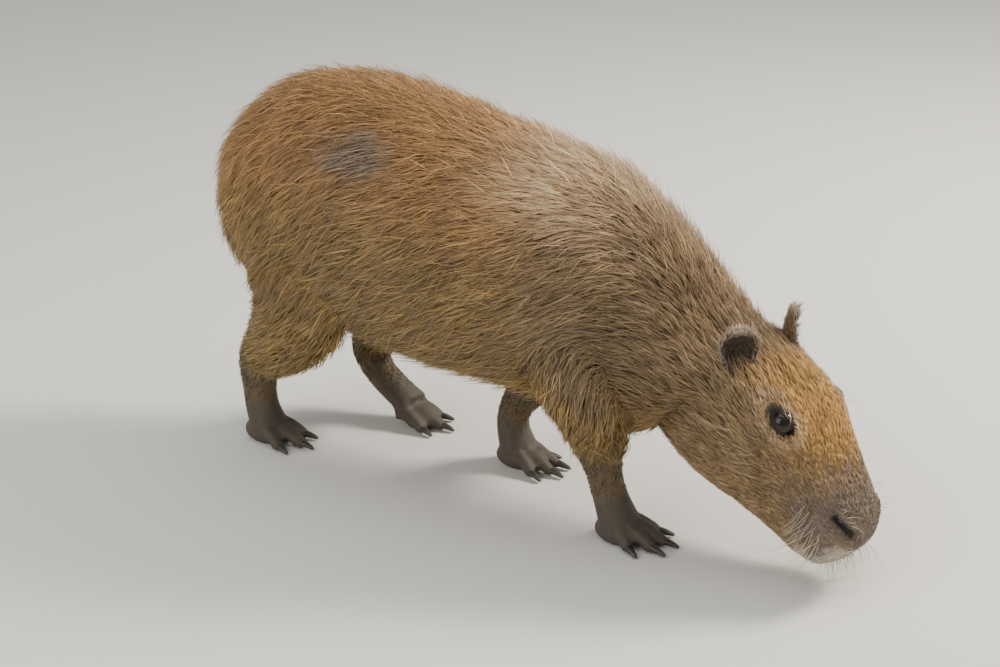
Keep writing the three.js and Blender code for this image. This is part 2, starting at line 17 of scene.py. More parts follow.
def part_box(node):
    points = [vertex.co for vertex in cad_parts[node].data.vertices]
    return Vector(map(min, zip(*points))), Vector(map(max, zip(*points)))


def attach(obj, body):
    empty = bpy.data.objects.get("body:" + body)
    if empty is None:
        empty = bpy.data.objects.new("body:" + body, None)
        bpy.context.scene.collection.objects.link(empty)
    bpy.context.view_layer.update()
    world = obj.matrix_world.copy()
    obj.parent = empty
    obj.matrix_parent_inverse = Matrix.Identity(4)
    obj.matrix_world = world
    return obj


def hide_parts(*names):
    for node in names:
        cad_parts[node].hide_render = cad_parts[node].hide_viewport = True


bl_info = {
    "name": "Capybara",
    "version": (1, 0, 0),
    "blender": (4, 5, 0),
    "location": "View3D > Sidebar > Capybara",
    "description": "Dresses the capybara's solids in skin, coat, eyes, ears, claws and whiskers",
    "category": "Object",
}

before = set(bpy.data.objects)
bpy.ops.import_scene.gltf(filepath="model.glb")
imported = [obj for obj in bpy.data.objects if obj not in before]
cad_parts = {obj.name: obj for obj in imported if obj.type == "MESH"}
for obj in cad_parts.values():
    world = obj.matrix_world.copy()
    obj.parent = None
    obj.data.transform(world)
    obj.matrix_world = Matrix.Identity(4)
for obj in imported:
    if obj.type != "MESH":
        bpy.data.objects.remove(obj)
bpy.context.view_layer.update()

MM = 0.001
LEFT, UP = np.eye(3)[1:]

# Trunk sections: x, z, lean in degrees, half width, height above and depth below the widest level,
# squareness, and the depth of the coat over the skin.
TRUNK = np.array([
    [-461, 352, 0, 22, 34, 28, 2.0, 15],
    [-452, 354, 0, 60, 80, 68, 2.0, 18],
    [-428, 357, 0, 97, 128, 110, 2.1, 20],
    [-383, 360, 0, 127, 170, 140, 2.1, 22],
    [-310, 361, 0, 145, 200, 162, 2.2, 23],
    [-230, 358, -1, 154, 210, 174, 2.2, 23],
    [-130, 350, -3, 161, 205, 182, 2.2, 23],
    [-35, 339, -5, 162, 192, 180, 2.2, 23],
    [55, 328, -6, 155, 184, 172, 2.2, 23],
    [130, 318, -10, 144, 180, 162, 2.2, 24],
    [195, 296, -22, 131, 154, 159, 2.2, 25],
    [258, 262, -36, 119, 120, 156, 2.2, 22],
    [316, 244, -44, 108, 91, 156, 2.2, 18],
])
# Head sections along the head's axis: distance, rise, half width, height, depth, squareness, coat.
SKULL = np.array([
    [-8, -20, 98, 72, 146, 2.2, 14],
    [30, -18, 93, 84, 141, 2.3, 10],
    [70, -15, 85, 89, 133, 2.4, 6],
    [105, -10, 74, 86, 122, 2.5, 4.5],
    [140, -6, 63, 77, 107, 2.6, 4],
    [178, -6, 56, 68, 88, 2.7, 3.4],
    [212, -7, 54, 60, 70, 2.8, 2.6],
    [240, -8, 50, 51, 55, 2.7, 2],
    [258, -9, 39, 34, 39, 2.5, 1.5],
    [266, -11, 22, 18, 20, 2.0, 1.2],
])
# The head points down, turned a little to the right, with its left side tilted up, in degrees.
HEAD_AT = (374, 2, 254)
HEAD_DOWN, HEAD_TURN, HEAD_TILT = 48, 8, 6
# Leg sections: x, y, z, half width across, half depth fore and aft, and the depth of the coat. The fore legs
# come from FORE_LEG on.
LEGS = {
    "hind_leg_right": [
        [-300, -78, 350, 54, 98, 20], [-278, -98, 280, 50, 98, 18], [-292, -101, 215, 43, 82, 15],
        [-335, -97, 165, 34, 57, 9], [-372, -93, 128, 27, 38, 4], [-379, -90, 90, 23, 29, 1.6],
        [-378, -88, 55, 24, 28, 1], [-368, -87, 24, 31, 27, 0.8],
    ],
    "hind_leg_left": [
        [-290, 78, 350, 54, 94, 20], [-235, 98, 275, 50, 90, 18], [-225, 101, 210, 41, 68, 15],
        [-270, 96, 155, 32, 47, 8], [-303, 89, 110, 27, 34, 3], [-283, 83, 72, 25, 26, 1.4],
        [-250, 80, 49, 27, 23, 1], [-216, 78, 31, 32, 19, 0.8],
    ],
    "fore_leg_right": [
        [150, -84, 300, 48, 78, 20], [172, -99, 232, 43, 67, 17], [196, -96, 180, 35, 53, 11],
        [205, -88, 135, 28, 38, 4], [211, -81, 95, 23, 27, 2], [218, -77, 62, 24, 25, 1],
        [232, -75, 26, 32, 27, 0.8],
    ],
    "fore_leg_left": [
        [128, 82, 300, 48, 78, 20], [96, 95, 232, 43, 65, 17], [52, 84, 176, 35, 49, 11],
        [14, 68, 130, 28, 37, 4], [-10, 57, 92, 23, 27, 2], [-16, 50, 60, 24, 25, 1],
        [-4, 46, 26, 32, 26, 0.8],
    ],
}
FORE_LEG = 2
# Toes: root forward and out, tip forward and out, half width. The outer toe comes first.
FORE_TOES = [(2, 17, 33, 33, 8.5), (12, 9, 61, 15, 10), (12, -6, 66, -11, 10), (4, -17, 46, -34, 9)]
HIND_TOES = [(4, 17, 46, 30, 10.5), (10, 0, 68, 1, 13), (4, -17, 50, -28, 10.5)]
# Feet: leg, toes, side of the outer toe, how far back the toes are set, pad half sizes, pad forward.
FEET = {
    "hind_claw_right": ("hind_leg_right", HIND_TOES, -1, 0, (40, 30, 20), 0),
    "hind_claw_left": ("hind_leg_left", HIND_TOES, 1, 12, (26, 28, 15), 16),
    "fore_claw_right": ("fore_leg_right", FORE_TOES, -1, 0, (38, 31, 19), 4),
    "fore_claw_left": ("fore_leg_left", FORE_TOES, 1, 0, (38, 31, 19), 4),
}
TOE_ROOT_Z, TOE_TIP_Z, TOE_BELLY = 21, 6.5, 9
TOE_AROUND, TOE_SQUARE, WEB_DEEP = 20, 2.3, 3.4
# Claws: length, how far they start behind the toe's end, heights of root and tip, and rings.
CLAW_LONG, CLAW_BACK, CLAW_ROOT_Z, CLAW_TIP_Z, CLAW_RINGS = 25, 6, 8.5, 3.2, 16

EYE = {"along": 86, "out": 57, "rise": 45, "radius": 16.5}
EYE_LOOK = (0.12, 0.8, 0.58)
# Half sizes of the eye's opening: fore and aft, above its middle and below it, and the same of the lids' rim.
EYE_OPENING = (18, 10.5, 9.0)
LID_RIM = (17.5, 10.4, 8.8)
# Rows of the lids: size against the rim, lift, share of the skin's place against the eyeball's, and tone.
LID_ROWS = np.array([
    [0.80, -0.8, 0, 0.012],
    [0.92, 0.5, 0, 0.014],
    [1.0, 1.5, 0, 0.018],
    [1.12, 1.7, 0.12, 0.025],
    [1.3, 1.5, 0.45, 0.05],
    [1.6, 0.9, 0.85, 0.10],
    [2.0, -0.8, 1, 0.16],
])
# The eyeballs lie this much deeper than their solids and are this much smaller, and the folds round them
# reach this far behind their middles.
EYE_SINK, EYE_SLACK, EYE_REACH = 2.5, 0.2, 16
EYE_RINGS, EYE_AROUND, LID_AROUND = 40, 64, 96
NOSTRIL = ((219, 43.5, 30), (247, 30, 28.5))

# Ears: the root, and the ways that they rise and spread, on the head's axes and for the left side.
EAR_AT, EAR_RISE, EAR_SPREAD = (-2, 62, 35), (-0.7, 0.1, 0.7), (0.34, -0.79, 0.53)
# Rows up the ear: height, half width, depth of the cup, and lean to the front.
EAR_ROWS = [
    [-14, 14, 7, 0], [0, 18, 10, 0], [10, 22, 12, -2], [21, 24.5, 11.5, -5], [30, 22.5, 9, -8],
    [37, 16, 6, -10], [41, 7, 2.5, -11],
]
EAR_RINGS, EAR_ACROSS, EAR_HAIRS = 30, 22, 2600

# Whiskers' leans on the head's axes, for the left side.
WHISKER_LEANS = {
    "lip": (0.5, 0, -0.5),
    "fringe": (0.9, 0.3, -0.7),
    "brow": (0.9, 0, 0.3),
    "cheek": (-0.8, 0, 0),
    "bridge": (-0.3, 0, 0.6),
}
WHISKER_WIDE, WHISKER_SEGMENTS = 0.95, 8

# Lowest heights over the floor.
SKIN_LOW, CLAW_LOW, TUFT_LOW, WHISKER_LOW = 0.25, 0.2, 0.4, 0.5
# Steps that the trunk, head and legs are measured in, and how many places are surveyed at once.
TRUNK_STEPS, SKULL_STEPS, LEG_STEPS, AT_ONCE = 40, 34, 60, 20000
# The skin is cut finer from this far along the head. A piece of the coat has no more tufts than this, so
# that its faces stay under 200,000.
FINE_FROM, TUFTS_A_PIECE = 52, 19900
# Tufts to a lock on the body, face and legs, and the share of strays in the short fur.
BODY_LOCK, FACE_LOCK, LEG_LOCK, SHORT_WILD = 9, 7, 6, 0.02

# The camera: place in the animal's frame, degrees down and round, and lens and sensor in millimetres.
CAMERA_AT, CAMERA_DOWN, CAMERA_ROUND, LENS, SENSOR = (1176, -1831, 1082), 21.6, 32.85, 60, 36


# Shapes worked out from the tables

def smooth(low, high, value):
    """0 under low, 1 over high, and an even rise between them."""
    t = np.clip((value - low) / (high - low), 0, 1)
    return t * t * (3 - 2 * t)


def unit(v):
    """Vectors divided by their lengths."""
    return v / np.maximum(np.linalg.norm(v, axis=-1, keepdims=True), 1e-9)


def curve(rows, t):
    """A smooth curve through rows at places t: the cubic whose slope at a row is half the step across it,
    kept within 4 of the two rows that it lies between."""
    rows = np.asarray(rows, float)
    i = np.clip(np.floor(t).astype(int), 0, len(rows) - 2)
    f = (t - i)[:, None]
    last = len(rows) - 1
    a, b, c, d = (rows[np.clip(i + k, 0, last)] for k in (-1, 0, 1, 2))
    square, cube = 2 * a - 5 * b + 4 * c - d, 3 * b - a - 3 * c + d
    value = 0.5 * (2 * b + (c - a) * f + square * f**2 + cube * f**3)
    return np.clip(value, np.minimum(b, c) - 4, np.maximum(b, c) + 4)


def dot(a, b):
    """Each row of a times the same row of b, summed."""
    return np.einsum("pk,pk->p", a, b)


def square_to(v, way):
    """Each row of v without its part along the same row of way."""
    return v - way * dot(v, way)[:, None]


def head_axes():
    """Rows: forward along the muzzle, left, and up out of the forehead, after the turn and the tilt."""
    down, turn, tilt = np.radians([HEAD_DOWN, HEAD_TURN, HEAD_TILT])
    ahead = np.array([math.cos(down), 0, -math.sin(down)])
    rise = np.array([math.sin(down), 0, math.cos(down)])
    forward = ahead * math.cos(turn) - LEFT * math.sin(turn)
    left = LEFT * math.cos(turn) + ahead * math.sin(turn)
    return np.array([
        forward,
        left * math.cos(tilt) + rise * math.sin(tilt),
        rise * math.cos(tilt) - left * math.sin(tilt),
    ])


def on_head(along, left, rise):
    """A place given on the head's axes, in the animal's frame, in millimetres."""
    local = np.stack(np.broadcast_arrays(along, left, rise), axis=-1).astype(float)
    return np.array(HEAD_AT, float) + local @ head_axes()


def to_head(points):
    """Places in the animal's frame, on the head's axes."""
    return (points - np.array(HEAD_AT, float)) @ head_axes().T


def spine():
    """All slices from rump to nose: centre, left, rise, forward, and sizes with the coat's depth."""
    t = np.linspace(0, len(TRUNK) - 1, TRUNK_STEPS)
    x, z, lean, side, up, down, square, coat = curve(TRUNK, t).T
    lean = np.radians(lean)
    none = np.zeros_like(x)
    centre = np.stack([x, none, z], 1)
    rise = np.stack([-np.sin(lean), none, np.cos(lean)], 1)
    skull = curve(SKULL, np.linspace(0, len(SKULL) - 1, SKULL_STEPS))
    centre = np.concatenate([centre, on_head(skull[:, 0], 0, skull[:, 1])])
    _, head_left, head_rise = head_axes()
    left = np.repeat([LEFT, head_left], [TRUNK_STEPS, SKULL_STEPS], 0)
    rise = np.concatenate([rise, np.repeat(head_rise[None], SKULL_STEPS, 0)])
    sizes = np.concatenate([np.stack([side, up, down, square, coat], 1), skull[:, 2:]])
    return centre, left, rise, np.cross(left, rise), sizes


def rings(centre, rise, left, side, up, down, square, around):
    """Oval rings: a superellipse of each slice's own half width, height and depth, around points each."""
    side, up, down, square = (np.broadcast_to(v, len(centre))[:, None] for v in (side, up, down, square))
    turn = np.linspace(0, 2 * np.pi, around, endpoint=False)
    c, s = np.cos(turn)[None], np.sin(turn)[None]
    out = np.sign(c) * np.abs(c) ** (2 / square) * side
    high = np.sign(s) * np.abs(s) ** (2 / square) * np.where(s > 0, up, down)
    return centre[:, None] + out[..., None] * left[:, None] + high[..., None] * rise[:, None]


def path_frame(points):
    """Left and rise square to a path: rise is the world's left turned across the way the path goes."""
    way = unit(np.gradient(points, axis=0))
    rise = unit(np.cross(LEFT, way))
    return unit(np.cross(way, rise)), rise, way


def leg_rings(rows, around=32, count=44):
    """A leg's rings, its coat taken off."""
    row = curve(rows, np.linspace(0, len(rows) - 1, count))
    left, rise, _ = path_frame(row[:, :3])
    across, deep = row[:, 3] - row[:, 5], row[:, 4] - row[:, 5]
    return rings(row[:, :3], rise, left, across, deep, deep, 2, around)


def toe_path(foot, toe, share):
    """Places along a toe: out from the foot and down to the claw, arched over the knuckle."""
    leg, _, outer, back, _, _ = FEET[foot]
    base = LEGS[leg][-1]
    forward = toe[0] + (toe[2] - toe[0]) * share - back
    out = (toe[1] + (toe[3] - toe[1]) * share) * outer
    arch = 6 * np.sin(np.pi * np.minimum(share * 1.15, 1))
    drop = TOE_ROOT_Z + (TOE_TIP_Z - TOE_ROOT_Z) * np.maximum(share, 0) ** 0.8
    return np.stack([base[0] + forward, base[1] + out, drop + arch], 1)


def toe_rings(foot, toe):
    """A toe's rings, swollen at the knuckle and narrowed to the claw."""
    share = np.linspace(-0.25, 1.06, 22)
    swell = np.interp(share, [-0.25, 0.1, 0.35, 0.6, 0.85, 1.0, 1.06], [0.95, 1, 1.1, 0.92, 0.9, 0.7, 0.36])
    centre = toe_path(foot, toe, share)
    left, rise, _ = path_frame(centre)
    deep = TOE_BELLY * swell * np.where(share < 0.2, 1.2, 1)
    return rings(centre, rise, left, toe[4] * swell, deep, deep, TOE_SQUARE, TOE_AROUND)


def band_faces(rows, around):
    """Faces of a band of rings, open at both ends: four points each, between one ring and the next."""
    i, j = np.meshgrid(np.arange(rows - 1), np.arange(around), indexing="ij")
    a, b = i * around + j, i * around + (j + 1) % around
    return np.stack([a, b, b + around, a + around], -1).reshape(-1, 4)


def tube(grid):
    """Points and faces of a closed tube through rings, its ends filled."""
    n, m = grid.shape[:2]
    ends = [list(range(m))[::-1], list(range((n - 1) * m, n * m))]
    return grid.reshape(-1, 3), band_faces(n, m).tolist() + ends


def ball(centre, sizes, around=32, tall=18):
    """Rings of an ellipsoid about the upright axis."""
    lift = np.linspace(-np.pi / 2 + 0.05, np.pi / 2 - 0.05, tall)[:, None]
    turn = np.linspace(0, 2 * np.pi, around, endpoint=False)[None]
    shape = np.stack([np.cos(lift) * np.cos(turn), np.cos(lift) * np.sin(turn), np.sin(lift) + 0 * turn], -1)
    return np.array(centre, float) + shape * np.array(sizes, float)


def eye_centre(side):
    """The middle of an eye's solid: side is 1 on the left and -1 on the right."""
    return on_head(EYE["along"], side * EYE["out"], EYE["rise"])


def eye_ways(side):
    """The ways an eye looks, towards its front corner, and up its face, on the head's own axes."""
    look = unit(np.array(EYE_LOOK) * [1, side, 1])
    fore = np.array([1, 0, 0.1])
    fore = unit(fore - look * (fore @ look))
    return look, fore, np.cross(look, fore) * side


def eye_ring(head):
    """For places on the head's axes: how far each is from the middle of the eye, 1 at the lids' edge."""
    look, fore, high = eye_ways(1)
    long, above, below = EYE_OPENING
    gap = np.stack([head[:, 0], np.abs(head[:, 1]), head[:, 2]], 1) - [EYE["along"], EYE["out"], EYE["rise"]]
    up = gap @ high
    ring = np.hypot(gap @ fore / long, up / np.where(up > 0, above, below))
    return np.where(gap @ look > -EYE_REACH, ring, 9)


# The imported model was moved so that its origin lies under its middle: the same move in millimetres.
SHIFT = np.mean(np.array(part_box("eye_right"), float), axis=0) / MM - eye_centre(-1)
# The finished skin, kept here for the pieces that are set on it.
WORK = {}


# Meshes

def to_metres(points):
    """Places in the animal's frame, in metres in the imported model's."""
    return (np.asarray(points) + SHIFT) * MM


def raw_mesh(name, points, faces):
    """A mesh from points in the animal's frame and lists of their numbers."""
    mesh = bpy.data.meshes.new(name)
    mesh.from_pydata(to_metres(points).tolist(), [], faces)
    mesh.update()
    return mesh


def new_piece(name, points, faces, material, slot):
    """A finished piece from points in the animal's frame."""
    return dress_mesh(name, raw_mesh(name, points, faces), material, slot)


def dress_mesh(name, mesh, material, slot):
    """Makes a mesh a smooth piece of the animal, with its finish."""
    mesh.name = name
    mesh.materials.append(material)
    mesh.polygons.foreach_set("use_smooth", np.full(len(mesh.polygons), True))
    piece = bpy.data.objects.new(name, mesh)
    bpy.context.scene.collection.objects.link(piece)
    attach(piece, "root")
    return piece


def read_points(mesh):
    """A mesh's points in the animal's frame, in millimetres."""
    points = np.empty(len(mesh.vertices) * 3, np.float32)
    mesh.vertices.foreach_get("co", points)
    return points.reshape(-1, 3).astype(float) / MM - SHIFT


def write_points(mesh, points):
    """Moves a mesh's points to places in the animal's frame."""
    mesh.vertices.foreach_set("co", to_metres(points).astype(np.float32).ravel())
    mesh.update()


def read_normals(mesh):
    """The way the surface faces at each of a mesh's points."""
    normals = np.empty(len(mesh.vertices) * 3, np.float32)
    mesh.vertex_normals.foreach_get("vector", normals)
    return normals.reshape(-1, 3).astype(float)


def relax(mesh, rounds, share):
    """Each round moves every point towards the mean of its neighbours by share, and then nearly as far back
    from their new mean, which evens the surface out without shrinking it."""
    edges = np.empty(len(mesh.edges) * 2, np.int32)
    mesh.edges.foreach_get("vertices", edges)
    a, b = edges.reshape(-1, 2).T
    points = read_points(mesh)
    count = np.bincount(a, minlength=len(points)) + np.bincount(b, minlength=len(points))
    for step in range(rounds * 2):
        total = np.stack([np.bincount(a, axis[b], len(axis)) + np.bincount(b, axis[a], len(axis))
                          for axis in points.T], 1)
        move = total / count[:, None] - points
        points = points + move * (share if step % 2 == 0 else -share * 0.92)[:, None]
    write_points(mesh, points)


def put_colour(mesh, colour):
    """A colour for each point, kept as linear light."""
    layer = mesh.color_attributes.new("tone", "FLOAT_COLOR", "POINT")
    rgba = np.ones((len(mesh.vertices), 4), np.float32)
    rgba[:, :3] = colour
    layer.data.foreach_set("color", rgba.ravel())


def turn_out(mesh, away_from=None):
    """Turns the faces of a closed mesh outwards, or of an open one away from a place."""
    shape = bmesh.new()
    shape.from_mesh(mesh)
    bmesh.ops.recalc_face_normals(shape, faces=shape.faces)
    if away_from is not None:
        centre = Vector(to_metres(away_from))
        if sum(f.normal.dot(f.calc_center_median() - centre) for f in shape.faces) < 0:
            bmesh.ops.reverse_faces(shape, faces=shape.faces)
    shape.to_mesh(mesh)
    shape.free()
    mesh.update()


# Where a place lies on the animal

def place_on_body(points):
    """For each point: share along the spine, height in its slice and turn round it, the coat's depth, the way
    ahead, and how far it lies outside the slice's oval, all in the slice whose plane it is nearest to."""
    centre, left, rise, ahead, sizes = spine()
    found = {key: np.empty(len(points)) for key in ("share", "high", "off", "coat", "turn")}
    found["ahead"] = np.empty((len(points), 3))
    for start in range(0, len(points), AT_ONCE):
        part = slice(start, start + AT_ONCE)
        gap = points[part][:, None] - centre[None]
        away = np.abs(np.einsum("pck,ck->pc", gap, ahead))
        near = np.argmin(away + 0.18 * np.linalg.norm(gap, axis=2), axis=1)
        each = np.arange(len(near))
        side, up, down, square, coat = sizes[near].T
        high = dot(gap[each, near], rise[near])
        wide, tall = side - coat, np.where(high > 0, up, down) - coat
        out, high = dot(gap[each, near], left[near]) / wide, high / tall
        ratio = (np.abs(out) ** square + np.abs(high) ** square) ** (1 / square)
        found["share"][part] = near / (len(centre) - 1)
        found["high"][part] = high
        found["off"][part] = (ratio - 1) * np.minimum(wide, tall) + np.maximum(away[each, near] - 12, 0)
        found["coat"][part] = coat
        found["ahead"][part] = ahead[near]
        found["turn"][part] = np.arctan2(high, out)
    return found


def place_on_legs(points):
    """For each point, on the leg that it lies deepest in: the leg's number, the share down it, the way it
    goes, the turn round it, the coat's depth, and how far outside the leg the point lies."""
    best = {key: np.zeros(len(points)) for key in ("share", "turn", "coat")}
    best["leg"], best["way"] = np.zeros(len(points), int), np.zeros((len(points), 3))
    best["off"] = np.full(len(points), 1e9)
    for number, rows in enumerate(LEGS.values()):
        row = curve(rows, np.linspace(0, len(rows) - 1, LEG_STEPS))
        left, rise, way = path_frame(row[:, :3])
        for start in range(0, len(points), AT_ONCE):
            gap = points[start:start + AT_ONCE, None] - row[None, :, :3]
            near = np.argmin(np.linalg.norm(gap, axis=2), axis=1)
            gap = gap[np.arange(len(near)), near]
            out, fore = dot(gap, left[near]), dot(gap, rise[near])
            cut = row[near, 5]
            across, deep = row[near, 3] - cut, row[near, 4] - cut
            off = (np.hypot(out / across, fore / deep) - 1) * across + np.abs(dot(gap, way[near]))
            better = np.flatnonzero(off < best["off"][start:start + AT_ONCE])
            best["leg"][start + better] = number
            for key, value in (("share", near / (LEG_STEPS - 1)), ("off", off), ("way", way[near]),
                               ("turn", np.arctan2(fore, out)), ("coat", cut)):
                best[key][start + better] = value[better]
    return best


def survey(points):
    """Everything the coat and the colours need to know about each place."""
    body, legs = place_on_body(points), place_on_legs(points)
    head = to_head(points)
    legness = smooth(-6, 14, body["off"] - legs["off"]) * (points[:, 2] < 330)
    near_head = (body["share"] > 0.5) & (head[:, 2] > -185)
    legness = np.where((body["share"] > 0.56) & near_head, 0, legness)
    headness = smooth(0, 40, head[:, 0]) * near_head
    return {"points": points, "body": body, "legs": legs, "head": head, "leg": legness, "headness": headness}


def ripple(points, size, seed):
    """A soft even noise, about -1 to 1: the sum of seven waves in random directions, about size long."""
    rng = np.random.default_rng(seed)
    total = np.zeros(len(points))
    for _ in range(7):
        way = unit(rng.normal(size=3)) * rng.uniform(0.6, 1.6) * 2 * np.pi / size
        total += np.sin(points @ way + rng.uniform(0, 6.28))
    return total / 3.2


# Colours and lie of the coat

TONES = {
    "back": (0.395, 0.215, 0.076),
    "flank": (0.300, 0.190, 0.062),
    "rump": (0.315, 0.198, 0.060),
    "belly": (0.285, 0.180, 0.050),
    "shoulder": (0.220, 0.152, 0.080),
    # A painted highlight: a pale tone for light falling on the top of the neck behind the head.
    "nape": (0.720, 0.510, 0.310),
    "cheek": (0.285, 0.190, 0.096),
    "brow": (0.460, 0.260, 0.082),
    "muzzle": (0.215, 0.165, 0.122),
    "lip": (0.600, 0.520, 0.430),
    "nose": (0.034, 0.029, 0.028),
    "ear": (0.230, 0.160, 0.098),
    "shank": (0.130, 0.092, 0.048),
    "foot": (0.080, 0.064, 0.049),
    "worn": (0.200, 0.160, 0.122),
    "ear_fringe": (0.42, 0.34, 0.26),
    "pupil": (0.008, 0.006, 0.005),
    "iris": (0.022, 0.011, 0.007),
    "claw": (0.034, 0.029, 0.025),
    "lid": (1.0, 0.78, 0.6),
}
TONES = {name: np.array(value)[None] for name, value in TONES.items()}
# The worn patch on the right hip: x and z of its middle, and its half sizes.
WORN_AT, WORN_SIZE = (-125, 484), (72, 28)


def mix(a, b, share):
    """Colours from a to b, by each place's share of b."""
    return a + (b - a) * share[:, None]


def body_colour(p, high):
    """The trunk's colour: its regions along and up the body, a painted highlight along the top of the neck
    behind the head, soft patches, and the worn place.
    """
    x, z = p[:, 0], p[:, 2]
    colour = np.repeat(TONES["flank"], len(p), 0)
    colour = mix(colour, TONES["rump"], smooth(-150, -330, x) * smooth(0.75, 0.2, high))
    colour = mix(colour, TONES["back"], smooth(0.1, 0.75, high))
    colour = mix(colour, TONES["shoulder"], smooth(60, 200, x) * smooth(-0.85, -0.2, high) * 0.85)
    colour = mix(colour, TONES["belly"], smooth(-0.35, -0.9, high) * smooth(440, 240, x))
    # Painted highlight: the top of the neck behind the head is painted pale, as if brightly lit.
    nape = np.exp(-((x - 150) / 90) ** 2) * smooth(0.55, 0.95, high)
    colour = mix(colour, TONES["nape"], nape * 0.75)
    colour = colour * (1 + 0.12 * ripple(p, 120, 3)[:, None] + 0.08 * ripple(p, 45, 4)[:, None])
    worn = ((x - WORN_AT[0]) / WORN_SIZE[0]) ** 2 + ((z - WORN_AT[1]) / WORN_SIZE[1]) ** 2
    worn = np.exp(-worn) * (p[:, 1] < 0) + 0.12 * ripple(p, 30, 9)
    return mix(colour, TONES["worn"], smooth(0.35, 0.8, worn) * 0.8)


def face_colour(p, head):
    """The head's colour: cheek and brow, a grey muzzle, pale lips, dark skin round the nostrils with painted
    shade in their slits, and a pale ring and dark rim round the eye."""
    along, out, rise = head.T
    face = mix(np.repeat(TONES["cheek"], len(p), 0), TONES["brow"],
               smooth(12, 66, rise) * smooth(235, 140, along) * smooth(-60, 50, along))
    grey = smooth(135, 225, along + 12 * ripple(p, 26, 8)) * smooth(-55, -5, rise + 0.1 * (along - 200))
    face = mix(face, TONES["muzzle"], grey)
    pale = smooth(240, 258, along + 4 * ripple(p, 12, 7)) * smooth(16, 0, rise) * 0.75
    chin = smooth(212, 240, along) * smooth(-22, -44, rise)
    face = mix(face, TONES["lip"], pale + chin * (0.6 - 0.6 * pale))
    slot, _ = near_line(np.stack([along, np.abs(out), rise], 1), NOSTRIL)
    # The darker skin round the nostrils.
    face = mix(face, TONES["muzzle"] * 0.5, np.exp(-((slot / 13) ** 2)) * 0.9)
    # Painted shade: the middle of each nostril's slit is painted near black for the shade inside its opening.
    face = mix(face, TONES["nose"] * 0.5, smooth(6.5, 3, slot))
    ring = eye_ring(head)
    pale = np.exp(-(((ring - 2.0) / 0.45) ** 2)) * smooth(-25, 30, rise)
    face = mix(face, TONES["lip"] * [[0.85, 0.72, 0.55]], pale * 0.6)
    face = mix(face, TONES["nose"] * 0.6, smooth(1.35, 1.1, ring))
    return face * (1 + 0.10 * ripple(p, 30, 5)[:, None])


def coat_colour(place):
    """The coat's colour at each place, blended from region to region, and darker down the legs."""
    p, body, legs = place["points"], place["body"], place["legs"]
    colour = mix(body_colour(p, body["high"]), face_colour(p, place["head"]), place["headness"])
    down = legs["share"] + 0.03 * ripple(p, 25, 6)
    start = np.where(legs["leg"] < FORE_LEG, 0.47, 0.42)
    leg = mix(colour, TONES["shank"], smooth(start, start + 0.14, down))
    leg = mix(leg, TONES["foot"], smooth(0.72, 0.9, down))
    colour = mix(colour, leg, np.maximum(place["leg"], smooth(60, 40, p[:, 2])))
    colour = mix(colour, TONES["foot"], smooth(52, 34, p[:, 2]) * (body["share"] < 0.5))
    return np.clip(colour, 0.01, 0.9)


def coat_flow(place, normals):
    """The way the coat lies: back from the nose to the tail, falling down the sides, and down the legs."""
    p, body, legs = place["points"], place["body"], place["legs"]
    fall = np.interp(p[:, 0], [-460, -400, -300, -150, 60, 200, 300], [2.2, 1.7, 1.15, 0.6, 0.5, 0.55, 0.25])
    way = -body["ahead"] - fall[:, None] * UP
    way = way + 0.09 * ripple(p, 160, 11)[:, None] * UP
    head = place["headness"][:, None]
    axes = head_axes()
    face_way = -axes[0] - 0.25 * axes[2] * smooth(20, -40, place["head"][:, 2])[:, None]
    way = way * (1 - head) + face_way * head
    leg_way = legs["way"] + 0.55 * np.array([-1, 0, 0.0])
    share = place["leg"][:, None]
    way = unit(way) * (1 - share) + unit(leg_way) * share
    return unit(square_to(way, normals))


def coat_sizes(place):
    """Each place's length of hair, height of its tips over the skin and width of a tuft."""
    p, body, legs, head = place["points"], place["body"], place["legs"], place["head"]
    length = np.interp(p[:, 0], [-460, -300, 0, 200, 330], [52, 62, 64, 56, 38])
    length = length + 10 * smooth(-0.4, -0.9, body["high"])
    width = np.interp(p[:, 0], [-100, 150, 320], [1.7, 1.6, 1.3])
    face_length = np.interp(head[:, 0], [-10, 40, 90, 140, 190, 230, 262], [30, 21, 15, 12, 9, 6.5, 4])
    face_length = face_length * (1 - 0.5 * smooth(2.6, 1.3, eye_ring(head)))
    headness, legness = place["headness"], place["leg"]
    length = length * (1 - headness) + face_length * headness
    width = width * (1 - headness) + (0.8 + 0.03 * face_length) * headness
    leg_length = np.interp(legs["share"], [0, 0.3, 0.45, 0.6, 0.75, 1], [44, 38, 26, 13, 8, 5])
    length = length * (1 - legness) + leg_length * legness
    depth = body["coat"] * (1 - legness) + legs["coat"] * legness
    width = width * (1 - legness) + (0.9 + 0.034 * leg_length) * legness
    return length, depth, width


# Materials

def node_tree(name):
    """A new finish, with its nodes, links and shader."""
    material = bpy.data.materials.new(name)
    material.use_nodes = True
    nodes = material.node_tree.nodes
    return material, nodes, material.node_tree.links, nodes["Principled BSDF"]


def noise(nodes, links, scale, detail=4.0, rough=0.6):
    """A noise on Object coordinates, its scale in waves to the metre."""
    place = nodes.new("ShaderNodeTexCoord")
    made = nodes.new("ShaderNodeTexNoise")
    made.inputs["Scale"].default_value = scale
    made.inputs["Detail"].default_value = detail
    made.inputs["Roughness"].default_value = rough
    links.new(place.outputs["Object"], made.inputs["Vector"])
    return made


def bump(nodes, links, height, shader, strength, distance):
    """Raises a height in the shader's surface, up to a distance in metres."""
    made = nodes.new("ShaderNodeBump")
    made.inputs["Strength"].default_value = strength
    made.inputs["Distance"].default_value = distance
    links.new(height, made.inputs["Height"])
    links.new(made.outputs["Normal"], shader.inputs["Normal"])


